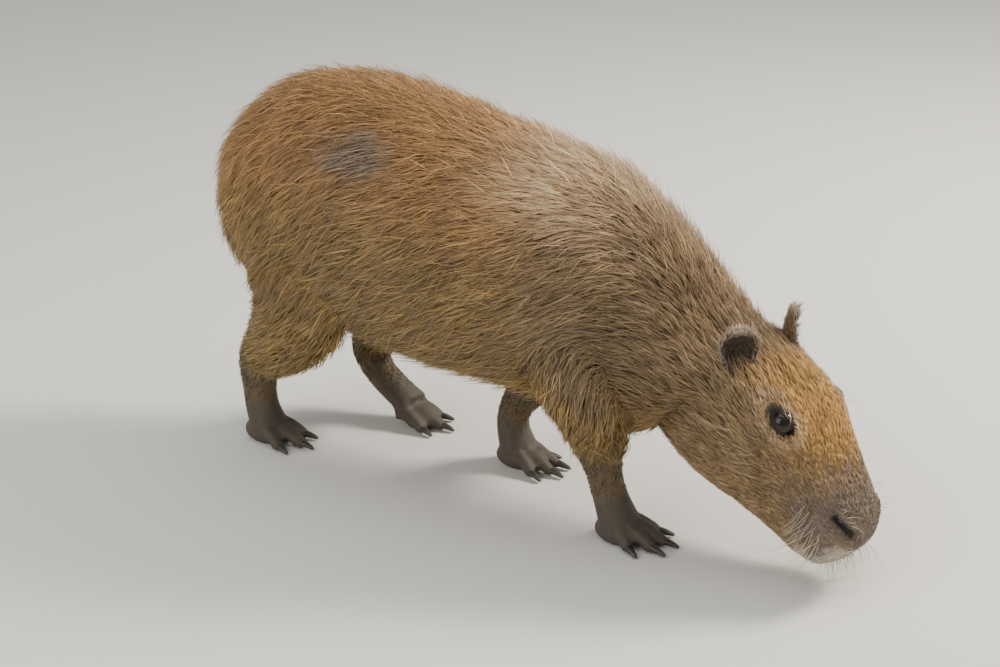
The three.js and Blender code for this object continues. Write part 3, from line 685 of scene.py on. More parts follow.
def tone_material(name, roughness, specular, darken, contrast, scale):
    """A finish that takes its colour from the points' own tone, broken up by a fine noise."""
    material, nodes, links, shader = node_tree(name)
    shader.inputs["Roughness"].default_value = roughness
    shader.inputs["Specular IOR Level"].default_value = specular
    tone = nodes.new("ShaderNodeAttribute")
    tone.attribute_name = "tone"
    speck = noise(nodes, links, scale)
    ramp = nodes.new("ShaderNodeMapRange")
    ramp.inputs["From Min"].default_value = 0.3
    ramp.inputs["From Max"].default_value = 0.7
    ramp.inputs["To Min"].default_value = darken * (1 - contrast)
    ramp.inputs["To Max"].default_value = darken * (1 + contrast)
    links.new(speck.outputs["Fac"], ramp.inputs["Value"])
    scaled = nodes.new("ShaderNodeVectorMath")
    scaled.operation = "SCALE"
    links.new(tone.outputs["Color"], scaled.inputs[0])
    links.new(ramp.outputs["Result"], scaled.inputs["Scale"])
    links.new(scaled.outputs["Vector"], shader.inputs["Base Color"])
    return material, nodes, links, shader


def skin_material():
    """Grained bare skin."""
    material, nodes, links, shader = tone_material("skin", 0.62, 0.3, 0.95, 0.22, 900)
    grain = noise(nodes, links, 420, 6, 0.7)
    bump(nodes, links, grain.outputs["Fac"], shader, 0.5, 0.0012)
    return material


def hair_material(name, roughness, specular):
    """Dry hair with a faint sheen."""
    material, _, _, shader = tone_material(name, roughness, specular, 1.0, 0.12, 300)
    shader.inputs["Sheen Weight"].default_value = 0.12
    shader.inputs["Sheen Roughness"].default_value = 0.5
    return material


def horn_material():
    """The claws' dark horn."""
    material, nodes, links, shader = tone_material("claw_horn", 0.38, 0.45, 1.0, 0.3, 260)
    grain = noise(nodes, links, 900, 3, 0.5)
    bump(nodes, links, grain.outputs["Fac"], shader, 0.25, 0.0005)
    return material


def eye_material():
    """A dark brown iris round a black pupil, under a clear wet coat."""
    material, _, _, shader = tone_material("wet_eye", 0.09, 0.28, 1.0, 0.12, 700)
    shader.inputs["Coat Weight"].default_value = 0.12
    shader.inputs["Coat Roughness"].default_value = 0.02
    return material


# Skin

FLESH = ["hindquarters", "barrel", "shoulders", "neck", "head"]
FLESH += [f"{piece}_{side}" for piece in ("thigh", "upper_arm") for side in ("right", "left")]
FLESH += [f"{end}_{piece}_{side}" for end in ("hind", "fore") for piece in ("leg", "foot")
          for side in ("right", "left")]


def flesh_shells():
    """Closed overlapping shells of the trunk, head, legs, pads, toes and webs."""
    centre, left, rise, _, sizes = spine()
    side, up, down, square, coat = sizes.T
    yield tube(rings(centre, rise, left, side - coat, up - coat, down - coat, square, 120))
    for rows in LEGS.values():
        yield tube(leg_rings(rows))
    for foot, (leg, toes, _, _, pad, pad_at) in FEET.items():
        base = LEGS[leg][-1]
        yield tube(ball((base[0] + pad_at, base[1], pad[2] * 0.72), pad))
        for toe in toes:
            yield tube(toe_rings(foot, toe))
        for one, two in zip(toes, toes[1:]):
            share = np.linspace(-0.1, 0.5, 8)
            p, q = toe_path(foot, one, share), toe_path(foot, two, share)
            middle = (p + q) / 2 - np.array([0, 0, 3])
            apart = np.linalg.norm(p - q, axis=1) / 2
            left, rise, _ = path_frame(middle)
            yield tube(rings(middle, rise, left, apart, WEB_DEEP, WEB_DEEP, 2, 16))


def fuse(name, shells, voxel):
    """One closed mesh round all the shells, by remeshing them on cubes of the voxel's size."""
    points, faces, start = [], [], 0
    for shell_points, shell_faces in shells:
        points.append(shell_points)
        faces += [[i + start for i in face] for face in shell_faces]
        start += len(shell_points)
    mesh = raw_mesh(name, np.concatenate(points), faces)
    turn_out(mesh)
    rough = bpy.data.objects.new(name, mesh)
    bpy.context.scene.collection.objects.link(rough)
    remesh = rough.modifiers.new("Fuse", "REMESH")
    remesh.mode = "VOXEL"
    remesh.voxel_size = voxel * MM
    remesh.adaptivity = 0
    graph = bpy.context.evaluated_depsgraph_get()
    fused = bpy.data.meshes.new_from_object(rough.evaluated_get(graph))
    bpy.data.objects.remove(rough)
    return fused


def refine_head(mesh):
    """Cuts each face of the head past its back into four, for the eyes, nostrils and lips."""
    shape = bmesh.new()
    shape.from_mesh(mesh)
    inside = to_head(read_points(mesh))[:, 0] > FINE_FROM
    edges = [e for e in shape.edges if inside[e.verts[0].index] and inside[e.verts[1].index]]
    bmesh.ops.subdivide_edges(shape, edges=edges, cuts=1, use_grid_fill=True)
    shape.to_mesh(mesh)
    shape.free()


def near_line(points, ends):
    """Each point's distance to a line from one end to the other, and its share along it."""
    a, b = np.array(ends[0], float), np.array(ends[1], float)
    share = np.clip((points - a) @ (b - a) / ((b - a) @ (b - a)), 0, 1)
    return np.linalg.norm(points - a - share[:, None] * (b - a), axis=1), share


def mouth_rise(along):
    """The height of the line between the lips, low at the chin's end and curling up to the cheek."""
    return -50 + 7 * smooth(215, 165, along) - 3 * smooth(220, 262, along)


def head_relief(head):
    """How far each place on the head stands out, in millimetres: the folds of the face."""
    along, out, rise = head.T
    side = np.abs(out)
    front = smooth(25, 60, along)
    move = np.zeros(len(head))
    ring = eye_ring(head)
    move -= 6.0 * smooth(1.15, 0.6, ring)
    move += 3.4 * np.exp(-(((ring - 1.75) / 0.5) ** 2))
    on_side = smooth(24, 38, side)
    brow = np.hypot((along - 80) / 28, (rise - 66) / 9)
    move += 3.0 * np.exp(-(brow**2)) * on_side
    bag = np.hypot((along - 96) / 24, (rise - 20) / 8)
    move += 2.0 * np.exp(-(bag**2)) * on_side
    cheek = np.hypot((along - 85) / 45, (rise + 40) / 34)
    move += 4.0 * np.exp(-(cheek**2)) * smooth(30, 50, side)
    hollow = np.hypot((along - 146) / 26, (rise - 8) / 18)
    move -= 3.5 * np.exp(-(hollow**2)) * smooth(28, 42, side)
    bridge = np.hypot((along - 190) / 34, out / 22) + (rise < 0) * 9
    move += 2.5 * np.exp(-(bridge**2))
    puff = np.hypot((along - 226) / 26, (rise + 14) / 20)
    move += 3.5 * np.exp(-(puff**2)) * smooth(20, 36, side)
    mirrored = np.stack([along, side, rise], 1)
    slot, share = near_line(mirrored, NOSTRIL)
    move -= 9.5 * np.exp(-((slot / (2.6 + 2.4 * share)) ** 2)) * (0.5 + 0.5 * np.sin(np.pi * share))
    rim, _ = near_line(mirrored, np.array(NOSTRIL) + [3, -5, 7])
    move += 3.2 * np.exp(-((rim / 5.0) ** 2))
    wing, _ = near_line(mirrored, np.array(NOSTRIL) + [-1, 4, -9])
    move += 2.8 * np.exp(-((wing / 5.0) ** 2))
    lips = rise - mouth_rise(along)
    reach = smooth(164, 180, along)
    move -= 4.6 * np.exp(-((lips / 2.3) ** 2)) * reach
    move += 2.6 * np.exp(-(((lips - 8) / 6) ** 2)) * reach
    move += 1.8 * np.exp(-(((lips + 8) / 6) ** 2)) * reach
    cleft = smooth(235, 255, along) * smooth(6, -8, rise) * smooth(-52, -44, rise)
    move -= 3.2 * np.exp(-((out / 2.2) ** 2)) * cleft
    return move * front


def make_skin(voxel, rounds):
    """The whole skin: shells fused, evened out, cut finer on the head and folded."""
    mesh = fuse("skin", flesh_shells(), voxel)
    points = read_points(mesh)
    place = survey(points)
    calm = 0.62 - 0.45 * smooth(60, 35, points[:, 2]) - 0.2 * place["headness"]
    relax(mesh, rounds, calm)
    refine_head(mesh)
    points, normals = read_points(mesh), read_normals(mesh)
    place = survey(points)
    folds = head_relief(place["head"]) * place["headness"]
    trunk = (1 - place["headness"]) * (1 - place["leg"]) * smooth(80, 140, points[:, 2])
    muscle = 3.0 * ripple(points, 190, 21) * trunk
    points = points + normals * (folds + muscle)[:, None]
    points[:, 2] = np.maximum(points[:, 2], SKIN_LOW)
    write_points(mesh, points)
    return mesh


# Coat

def skin_unwrap(place):
    """The skin laid out flat: the trunk and head as one sheet round the spine, each leg as one below it."""
    body, legs = place["body"], place["legs"]
    u = 0.01 + 0.98 * body["share"]
    v = 0.36 + 0.63 * ((body["turn"] / (2 * np.pi)) % 1)
    leg_u = 0.005 + 0.25 * legs["leg"] + 0.24 * ((legs["turn"] / (2 * np.pi)) % 1)
    leg_v = 0.01 + 0.33 * legs["share"]
    on_leg = place["leg"] > 0.5
    return np.stack([np.where(on_leg, leg_u, u), np.where(on_leg, leg_v, v)], 1)


# A tuft's seven points: how light each is, in painted shade at the root where it lies deep in the coat and
# lighter to the tip, and where it lies in the tuft's own patch.
TUFT_PAINTED_SHADE = np.array([0.55, 0.55, 0.65, 1.0, 1.0, 1.1, 1.35])
TUFT_PATCH = np.array([[-1, -1], [1, -1], [0, -1], [-0.7, 0.2], [0.7, 0.2], [0, 0.2], [0, 1]]) * 0.0015


def tuft_faces(count):
    """Ten faces for each tuft of seven points: a root, two bands of three sides, and a tip."""
    one = np.array([[0, 2, 1], [0, 1, 4], [0, 4, 3], [1, 2, 5], [1, 5, 4], [2, 0, 3], [2, 3, 5],
                    [3, 4, 6], [4, 5, 6], [5, 3, 6]])
    return (one[None] + 7 * np.arange(count)[:, None, None]).reshape(-1, 3)


def tuft_points(root, middle, tip, normal, width):
    """Three-sided tufts: a triangle at the root and at the middle, set square to the hair, and a tip."""
    points = []
    for at, ahead, size in ((root, middle - root, width), (middle, tip - root, width * 0.82)):
        ahead = unit(ahead)
        side = unit(np.cross(ahead, normal))
        up = np.cross(side, ahead)
        half = size[:, None] / 2
        low = at - up * half * 0.3
        points += [low - side * half, low + side * half, at + up * half * 0.62]
    points.append(tip)
    return np.stack(points, 1)


def tuft_piece(name, tufts, material, slot):
    """One mesh of tufts, with a tone at each point, in painted shade at the root, and a small patch each on
    the skin's own unwrap.
    """
    count = len(tufts["root"])
    points = tuft_points(tufts["root"], tufts["middle"], tufts["tip"], tufts["normal"], tufts["width"])
    mesh = bpy.data.meshes.new(name)
    faces = tuft_faces(count)
    mesh.vertices.add(count * 7)
    mesh.vertices.foreach_set("co", to_metres(points).astype(np.float32).ravel())
    mesh.loops.add(len(faces) * 3)
    mesh.loops.foreach_set("vertex_index", faces.astype(np.int32).ravel())
    mesh.polygons.add(len(faces))
    mesh.polygons.foreach_set("loop_start", np.arange(0, len(faces) * 3, 3, dtype=np.int32))
    mesh.update(calc_edges=True)
    # Painted shade: each tuft's tone is darkened at its root, deep in the coat, and lightened towards its
    # tip.
    tone = tufts["tone"][:, None] * TUFT_PAINTED_SHADE[None, :, None] * tufts["light"][:, None, None]
    put_colour(mesh, np.clip(tone.reshape(-1, 3), 0.003, 0.95))
    flat = (tufts["flat"][:, None] + TUFT_PATCH[None]).reshape(-1, 2)
    layer = mesh.uv_layers.new(name="OFBake")
    layer.data.foreach_set("uv", flat[faces.ravel()].astype(np.float32).ravel())
    return dress_mesh(name, mesh, material, slot)


def scatter(mesh, count, weight, rng):
    """Random places on the skin's faces, in proportion to area times the weight of the face's points."""
    mesh.calc_loop_triangles()
    triangles = np.empty(len(mesh.loop_triangles) * 3, np.int32)
    mesh.loop_triangles.foreach_get("vertices", triangles)
    triangles = triangles.reshape(-1, 3)
    points = read_points(mesh)
    a, b, c = (points[triangles[:, k]] for k in range(3))
    area = np.linalg.norm(np.cross(b - a, c - a), axis=1) * weight[triangles].mean(1)
    chosen = np.searchsorted(np.cumsum(area), rng.random(count) * area.sum())
    chosen = np.minimum(chosen, len(area) - 1)
    u, v = rng.random((2, count))
    flip = u + v > 1
    u, v = np.where(flip, 1 - u, u), np.where(flip, 1 - v, v)
    place = a[chosen] + (b - a)[chosen] * u[:, None] + (c - a)[chosen] * v[:, None]
    return place, triangles[chosen, 0]


def grown_tree(points):
    """A tree that finds the nearest of some points."""
    tree = KDTree(len(points))
    for i, p in enumerate(points):
        tree.insert(p, i)
    tree.balance()
    return tree


def nearest(tree, places):
    """The number of the tree's point nearest to each place."""
    return np.array([tree.find(p)[1] for p in places])


def level_with(skin, guess):
    """Guessed places moved square to the skin until level with its nearest points, the way the skin faces
    there, and the numbers of those points."""
    near = nearest(skin["tree"], guess)
    normal = skin["field"]["normal"][near]
    return guess - normal * dot(guess - skin["field"]["point"][near], normal)[:, None], normal, near


def grow_tufts(skin, count, weight, rng, lock_size, wild):
    """Lays tufts on the skin: each leaves the skin, follows the coat's lie over the surface in two steps,
    and leans with its neighbours to the tip of its lock."""
    field = skin["field"]
    root, at = scatter(skin["mesh"], count, weight, rng)
    normal = field["normal"][at]
    length, depth, width = (field[key][at] for key in ("length", "depth", "width"))
    seeds = max(count // lock_size, 1)
    lock = nearest(grown_tree(root[:seeds]), root)
    lock_long = rng.normal(1, 0.12, seeds)[lock]
    lock_turn = rng.normal(0, 0.09, seeds)[lock]
    lock_light = np.exp(rng.normal(0, 0.11, seeds))[lock]
    lock_lift = rng.normal(1, 0.14, seeds)[lock]
    length = length * np.clip(lock_long + rng.normal(0, 0.12, count), 0.5, 1.5)
    stray = rng.random(count) < wild
    height = depth * np.clip(lock_lift * rng.uniform(0.45, 1.0, count), 0.2, 1.2)
    height = np.where(stray, depth * rng.uniform(1.05, 1.5, count), height)
    flow = field["flow"][at]
    turn = lock_turn + rng.normal(0, 0.1, count) + stray * rng.normal(0, 0.3, count)
    flow = unit(flow + np.cross(normal, flow) * turn[:, None])
    pull = square_to(square_to(root[lock] - root, normal), flow)
    guess, up, near = level_with(skin, root + flow * (0.47 * length)[:, None] + pull * 0.2)
    middle = guess + up * (height * 0.72)[:, None]
    flow = unit(field["flow"][near] + np.cross(up, field["flow"][near]) * turn[:, None])
    guess, up, _ = level_with(skin, guess + flow * (0.5 * length)[:, None] + pull * 0.32)
    tip = guess + up * height[:, None]
    for end in (middle, tip):
        end[:, 2] = np.maximum(end[:, 2], TUFT_LOW)
    light = lock_light * np.exp(rng.normal(0, 0.22, count))
    light = light * np.where(rng.random(count) < 0.08, 1.5, 1)
    return {"root": root - normal * 1.2, "middle": middle, "tip": tip, "normal": normal,
            "width": width * rng.uniform(0.75, 1.25, count), "tone": field["colour"][at], "light": light,
            "flat": field["flat"][at]}


def skin_field(mesh):
    """What the coat reads from each point of the skin."""
    points, normals = read_points(mesh), read_normals(mesh)
    place = survey(points)
    length, depth, width = coat_sizes(place)
    field = {"point": points, "normal": normals, "flow": coat_flow(place, normals), "length": length,
             "depth": depth, "width": width, "colour": coat_colour(place), "flat": skin_unwrap(place)}
    return {"mesh": mesh, "field": field, "tree": grown_tree(points), "place": place}


def coat_pieces(name, tufts, material):
    """Tufts as pieces from rump to nose, none with more than TUFTS_A_PIECE of them."""
    order = np.argsort(tufts["root"][:, 0])
    for i, part in enumerate(np.array_split(order, -(-len(order) // TUFTS_A_PIECE))):
        tuft_piece(f"{name}_{i + 1}", {key: value[part] for key, value in tufts.items()}, material, "coat")


# Eyes, ears, claws and whiskers

def eye_frame(side):
    """An eye's middle, set a little deeper than its solid, and its three ways in the animal's frame."""
    look, fore, high = (way @ head_axes() for way in eye_ways(side))
    return eye_centre(side) - EYE_SINK * look, look, fore, high


def eyeball(side):
    """A ball whose pole looks out of the head, dark at the pupil and brown round it."""
    centre, look, fore, high = eye_frame(side)
    lift = np.linspace(0.02, np.pi - 0.02, EYE_RINGS)[:, None]
    turn = np.linspace(0, 2 * np.pi, EYE_AROUND, endpoint=False)[None]
    shape = (np.sin(lift) * np.cos(turn))[..., None] * fore + (np.sin(lift) * np.sin(turn))[..., None] * high
    shape = shape + (np.cos(lift) + 0 * turn)[..., None] * look
    grid = centre + shape * (EYE["radius"] - EYE_SLACK)
    away = np.degrees(np.repeat(lift, EYE_AROUND, 1)).ravel()
    iris = smooth(46, 42, away) * smooth(16, 21, away)
    return grid, mix(TONES["pupil"], TONES["iris"], iris)


def lid_rings(side):
    """The lids as one fold round the eye: rows from under the lid, over its rim and out to the skin. A row's
    places lie over the eyeball, over the skin, found by three steps along the look, or between the two."""
    centre, look, fore, high = eye_frame(side)
    skin = WORK["skin"]
    turn = np.linspace(0, 2 * np.pi, LID_AROUND, endpoint=False)
    c, s = np.cos(turn), np.sin(turn)
    ahead = LID_RIM[0] * c
    above = np.where(s > 0, LID_RIM[1], LID_RIM[2]) * np.sign(s) * np.abs(s) ** 1.2
    rows = []
    for grow, lift, on_skin, _ in LID_ROWS:
        f, h = ahead * grow, above * grow
        deep = np.sqrt(np.maximum(EYE["radius"] ** 2 - f * f - h * h, 4))
        flat = centre + f[:, None] * fore + h[:, None] * high
        guess = flat + deep[:, None] * look
        for _ in range(3):
            near = nearest(skin["tree"], guess)
            gap = skin["field"]["point"][near] - guess
            normal = skin["field"]["normal"][near]
            step = dot(gap, normal) / np.maximum(normal @ look, 0.3)
            guess = guess + step[:, None] * look
        surface = (guess - flat) @ look
        rows.append(flat + (deep * (1 - on_skin) + surface * on_skin + lift)[:, None] * look)
    return np.stack(rows)


def ear_frame(side):
    """Where an ear grows and the ways it rises, spreads and faces back."""
    axes, mirror = head_axes(), np.array([1, side, 1])
    root = on_head(*(np.array(EAR_AT) * mirror))
    rise = unit(EAR_RISE * mirror @ axes)
    across = EAR_SPREAD * mirror @ axes
    across = unit(across - rise * (across @ rise))
    back = unit(np.cross(rise, across) * side)
    if back @ (-0.3 * axes[0] - side * axes[1]) < 0:
        back = -back
    return root, rise, across, back


def ear_grid(side):
    """Rings up the ear: each a crescent, bulging behind and hollow before, thinning to the rim."""
    root, rise, across, back = ear_frame(side)
    high, half, cup, lean = curve(EAR_ROWS, np.linspace(0, len(EAR_ROWS) - 1, EAR_RINGS)).T[..., None]
    v = np.concatenate([np.linspace(-1, 1, EAR_ACROSS), np.linspace(1, -1, EAR_ACROSS)])
    behind = np.repeat([True, False], EAR_ACROSS)
    thick = np.interp(high, [-14, 10, 34, 41], [4.2, 3.8, 2.6, 2.0]) * np.sqrt(np.maximum(1 - v**2, 0.05))
    hollow = np.where(high < 6, -0.4 + 1.4 * smooth(-6, 6, high), 1)
    bulge = cup * (1 - v**2)
    depth = np.where(behind, bulge + thick / 2, bulge * hollow - thick / 2) - 0.4 * lean
    grid = root + high[..., None] * rise + (v * half)[..., None] * across + depth[..., None] * back
    return grid, behind, high[:, 0]


def ear_fur(side, word, grid, behind, high, mesh, material):
    """Short fur over the back of an ear and a longer fringe round its rim."""
    rng = np.random.default_rng(31 + side)
    _, rise, _, _ = ear_frame(side)
    normals = read_normals(mesh).reshape(grid.shape)
    around = len(behind)
    rows, cols = rng.integers(2, EAR_RINGS - 1, EAR_HAIRS), rng.integers(0, around, EAR_HAIRS)
    at = grid[rows, cols] + rng.normal(0, 0.7, (EAR_HAIRS, 3))
    normal = normals[rows, cols]
    way = unit(rise + 0.25 * normal + rng.normal(0, 0.2, (EAR_HAIRS, 3)))
    long = np.where(behind[cols], 4.8, 4.6) * rng.uniform(0.6, 1.3, EAR_HAIRS)
    edge = smooth(0.8, 1, np.abs(np.linspace(-1, 1, EAR_ACROSS))[cols % EAR_ACROSS])
    top = smooth(33, 40, high[rows])
    long = (long * (1 + 0.8 * edge + 0.9 * top))[:, None]
    tone = np.where(behind[cols], 1.15, 0.5)[:, None] * TONES["ear"]
    tone = mix(tone, TONES["ear_fringe"], np.maximum(edge, top) * 0.7)
    flat = np.stack([0.3 + 0.2 * (side > 0) + 0.18 * cols / around, 0.005 + 0.02 * rows / EAR_RINGS], 1)
    tufts = {"root": at - normal * 0.5, "middle": at + way * long * 0.5 + normal * 0.25 * long,
             "tip": at + way * long + normal * 0.2 * long, "normal": normal, "width": np.ones(EAR_HAIRS),
             "tone": tone, "light": np.exp(rng.normal(0, 0.22, EAR_HAIRS)), "flat": flat}
    tuft_piece(f"ear_fur_{word}", tufts, material, "short_fur")


def claw_rings(foot, toe):
    """A claw: oval rings out from the toe's end and down to a blunt tip, kept over the floor."""
    before, end = toe_path(foot, toe, np.array([0.86, 1.0]))
    way = unit((end - before) * [1, 1, 0])
    share = np.linspace(0, 1, CLAW_RINGS)
    centre = end + way * (share[:, None] * CLAW_LONG - CLAW_BACK)
    centre[:, 2] = CLAW_ROOT_Z + (CLAW_TIP_Z - CLAW_ROOT_Z) * share**1.6
    wide = 6.4 + (2.2 - 6.4) * share**1.7
    deep = 5.0 + (2.2 - 5.0) * share**1.3
    wide[-1], deep[-1] = 1.2, 1.2
    left, rise, _ = path_frame(centre)
    grid = rings(centre, rise, left, wide, deep, deep, TOE_SQUARE, TOE_AROUND)
    grid[..., 2] = np.maximum(grid[..., 2], CLAW_LOW)
    return grid


def hair_tubes(roots, ways, lengths, droops, width, segments):
    """Curved hairs as three-sided tubes: each bends towards its droop as the square of the way along it."""
    t = np.linspace(0, 1, segments + 1)[None, :, None]
    roots, ways, droops, lengths = roots[:, None], ways[:, None], droops[:, None], lengths[:, None, None]
    line = roots + ways * lengths * t + droops * lengths * t**2
    ahead = unit(np.gradient(line, axis=1))
    side = unit(np.cross(ahead, np.array([0.31, 0.2, 0.93])))
    up = np.cross(side, ahead)
    turn = np.arange(3) * 2 * np.pi / 3
    size = (width * (1 - 0.9 * t)) / 2
    spread = side[:, :, None] * np.cos(turn)[:, None] + up[:, :, None] * np.sin(turn)[:, None]
    ring = line[:, :, None] + spread * size[:, :, None]
    start = (np.arange(len(roots)) * (segments + 1) * 3)[:, None]
    faces = (band_faces(segments + 1, 3)[None] + start[:, :, None]).reshape(-1, 4).tolist()
    faces += (np.array([[2, 1, 0]]) + start).tolist()
    faces += (np.array([[0, 1, 2]]) + start + segments * 3).tolist()
    return ring.reshape(-1, 3), faces


def whisker_spots(rng):
    """Where one side's whiskers grow: their kind, place on the head's axes, and share of the longest."""
    for row in range(5):
        for k in range(6):
            yield "lip", (236 - 10 * k + 3 * row, 75, 10 - 9 * row + rng.normal(0, 1.5)), 1.0 - 0.08 * k
    for k in range(34):
        rise = rng.uniform(-46, 12)
        yield "fringe", (280, rng.uniform(6, 48), rise), rng.uniform(0.25, 0.62)
    for k in range(6):
        yield "bridge", (205 + 7 * k, 40, 40 + rng.normal(0, 3)), rng.uniform(0.25, 0.4)
    for k in range(6):
        yield "brow", (66 + 6 * k, 75, 70 + rng.normal(0, 1)), rng.uniform(0.2, 0.36)
    for k in range(5):
        yield "cheek", (rng.uniform(60, 150), 75, rng.uniform(-30, 10)), rng.uniform(0.4, 0.8)


def whisker_piece(longest, colour):
    """Whiskers in rows on the upper lip, a fringe round the mouth, and fewer on the bridge, brow and cheek.
    Each grows at the skin's point nearest to its spot."""
    rng = np.random.default_rng(5)
    skin, axes = WORK["skin"], head_axes()
    spots = [(side, *spot) for side in (-1, 1) for spot in whisker_spots(rng)]
    hairs = []
    for side, kind, place, size in spots:
        mirror = np.array([1, side, 1])
        near = skin["tree"].find(on_head(*(place * mirror)))[1]
        normal = skin["field"]["normal"][near]
        lean = WHISKER_LEANS[kind] * mirror @ axes
        way = unit(normal * 0.8 + lean * 0.8 + rng.normal(0, 0.16, 3))
        length = longest * size * rng.uniform(0.65, 1.0)
        droop = -0.5 * axes[0] * (kind in ("lip", "cheek")) - 0.3 * UP + rng.normal(0, 0.14, 3)
        hairs.append((skin["field"]["point"][near] - normal, way, length, droop))
    roots, ways, lengths, droops = (np.array(values) for values in zip(*hairs))
    points, faces = hair_tubes(roots, ways, lengths, droops, WHISKER_WIDE, WHISKER_SEGMENTS)
    points[:, 2] = np.maximum(points[:, 2], WHISKER_LOW)
    material = tone_material("whisker_horn", 0.35, 0.5, 1.0, 0.08, 200)[0]
    piece = new_piece("whiskers", points, faces, material, "coat")
    put_colour(piece.data, np.repeat(np.array(colour)[None], len(points), 0))


# Stage

FLOOR_HALF, FLOOR_Z, LIGHTS_AIM_Z = 14.0, -0.0004, 0.3


def lay_floor(colour):
    """A plain square floor just under the feet, in metres."""
    mesh = bpy.data.meshes.new("floor")
    corners = [(x * FLOOR_HALF, y * FLOOR_HALF, FLOOR_Z) for x, y in ((-1, -1), (1, -1), (1, 1), (-1, 1))]
    mesh.from_pydata(corners, [], [(0, 1, 2, 3)])
    material, _, _, shader = node_tree("floor_paint")
    shader.inputs["Base Color"].default_value = (*colour, 1)
    shader.inputs["Roughness"].default_value = 0.85
    mesh.materials.append(material)
    floor = bpy.data.objects.new("floor", mesh)
    bpy.context.scene.collection.objects.link(floor)


def hang_lights(key, fill):
    """Three soft lights: name, place in metres, power, width in metres and tint. All aim over the middle."""
    lights = (("key", (1.9, 2.3, 2.6), key, 1.0, (1.0, 0.93, 0.82)),
              ("fill", (-0.9, -2.9, 2.1), fill, 2.6, (1.0, 0.98, 0.94)),
              ("top", (0.0, 0.2, 3.2), fill * 0.7, 2.8, (1.0, 0.98, 0.95)))
    for name, (x, y, z), power, width, tint in lights:
        lamp = bpy.data.lights.new(name, "AREA")
        lamp.energy, lamp.size, lamp.color = power, width, tint
        light = bpy.data.objects.new(name, lamp)
        light.location = (x, y, z)
        light.rotation_euler = (math.atan2(math.hypot(x, y), z - LIGHTS_AIM_Z), 0, math.atan2(x, -y))
        bpy.context.scene.collection.objects.link(light)
    world = bpy.data.worlds.new("soft_room")
    world.use_nodes = True
    background = world.node_tree.nodes["Background"]
    background.inputs["Color"].default_value = (0.97, 0.97, 0.96, 1)
    background.inputs["Strength"].default_value = 0.55
    bpy.context.scene.world = world


def set_camera():
    """The camera, at its place in the animal's frame, looking down and round by its angles."""
    lens = bpy.data.cameras.new("camera")
    lens.lens, lens.sensor_width = LENS, SENSOR
    camera = bpy.data.objects.new("camera", lens)
    camera.location = tuple(to_metres(CAMERA_AT))
    camera.rotation_euler = (math.radians(90 - CAMERA_DOWN), 0, math.radians(CAMERA_ROUND))
    bpy.context.scene.collection.objects.link(camera)
    bpy.context.scene.camera = camera


# Sizes and colours a user may change

class CapybaraSkin(bpy.types.PropertyGroup):
    """How fine and how even the skin is."""
    voxel: bpy.props.FloatProperty(
        name="Skin grain", description="Size of the cubes that the skin is fused on, in millimetres",
        default=4.7, min=3.0, max=12.0)
    calm: bpy.props.IntProperty(
        name="Smoothing", description="Rounds that even out the fused skin", default=12, min=0, max=60)


class CapybaraCoat(bpy.types.PropertyGroup):
    """How dense and how wild the coat is."""
    body_tufts: bpy.props.IntProperty(
        name="Body tufts", description="How many tufts cover the trunk and neck", default=112000, min=1000)
    face_tufts: bpy.props.IntProperty(
        name="Face tufts", description="How many short tufts cover the head", default=33000, min=1000)
    leg_tufts: bpy.props.IntProperty(
        name="Leg tufts", description="How many tufts cover the legs", default=9000, min=500)
    wild: bpy.props.FloatProperty(
        name="Stray hair", description="Share of the tufts that stand out of the coat", default=0.05,
        min=0, max=1, subtype="FACTOR")


class CapybaraWhiskers(bpy.types.PropertyGroup):
    """The whiskers' length and colour."""
    length: bpy.props.FloatProperty(
        name="Whisker length", description="Length of the longest whiskers", default=0.085, unit="LENGTH")
    colour: bpy.props.FloatVectorProperty(
        name="Whisker colour", description="Pale horn colour of the whiskers", default=(0.62, 0.55, 0.45),
        size=3, min=0, max=1, subtype="COLOR")


class CapybaraStage(bpy.types.PropertyGroup):
    """The floor's colour and the power of the lights."""
    floor_colour: bpy.props.FloatVectorProperty(
        name="Floor", description="Colour of the plain floor", default=(0.72, 0.71, 0.68), size=3, min=0,
        max=1, subtype="COLOR")
    key_power: bpy.props.FloatProperty(
        name="Key light", description="Power of the light behind the animal", default=210, min=0,
        unit="POWER")
    fill_power: bpy.props.FloatProperty(
        name="Fill light", description="Power of the light beside the camera", default=60, min=0,
        unit="POWER")


class CAPYBARA_OT_skin(bpy.types.Operator):
    """Make one closed skin under the coat, over the whole body, legs, feet and head."""
    bl_idname = "capybara.skin"
    bl_label = "Skin"

    def execute(self, context):
        sizes = context.scene.capybara_skin
        mesh = make_skin(sizes.voxel, sizes.calm)
        WORK["skin"] = skin_field(mesh)
        field = WORK["skin"]["field"]
        # Painted shade: the skin is darkened where the coat over it is deeper.
        under = 1 - 0.3 * smooth(3, 12, field["depth"])
        put_colour(mesh, field["colour"] * under[:, None])
        skin = dress_mesh("skin", mesh, skin_material(), "foot_skin")
        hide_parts(*FLESH)
        return {"FINISHED"}


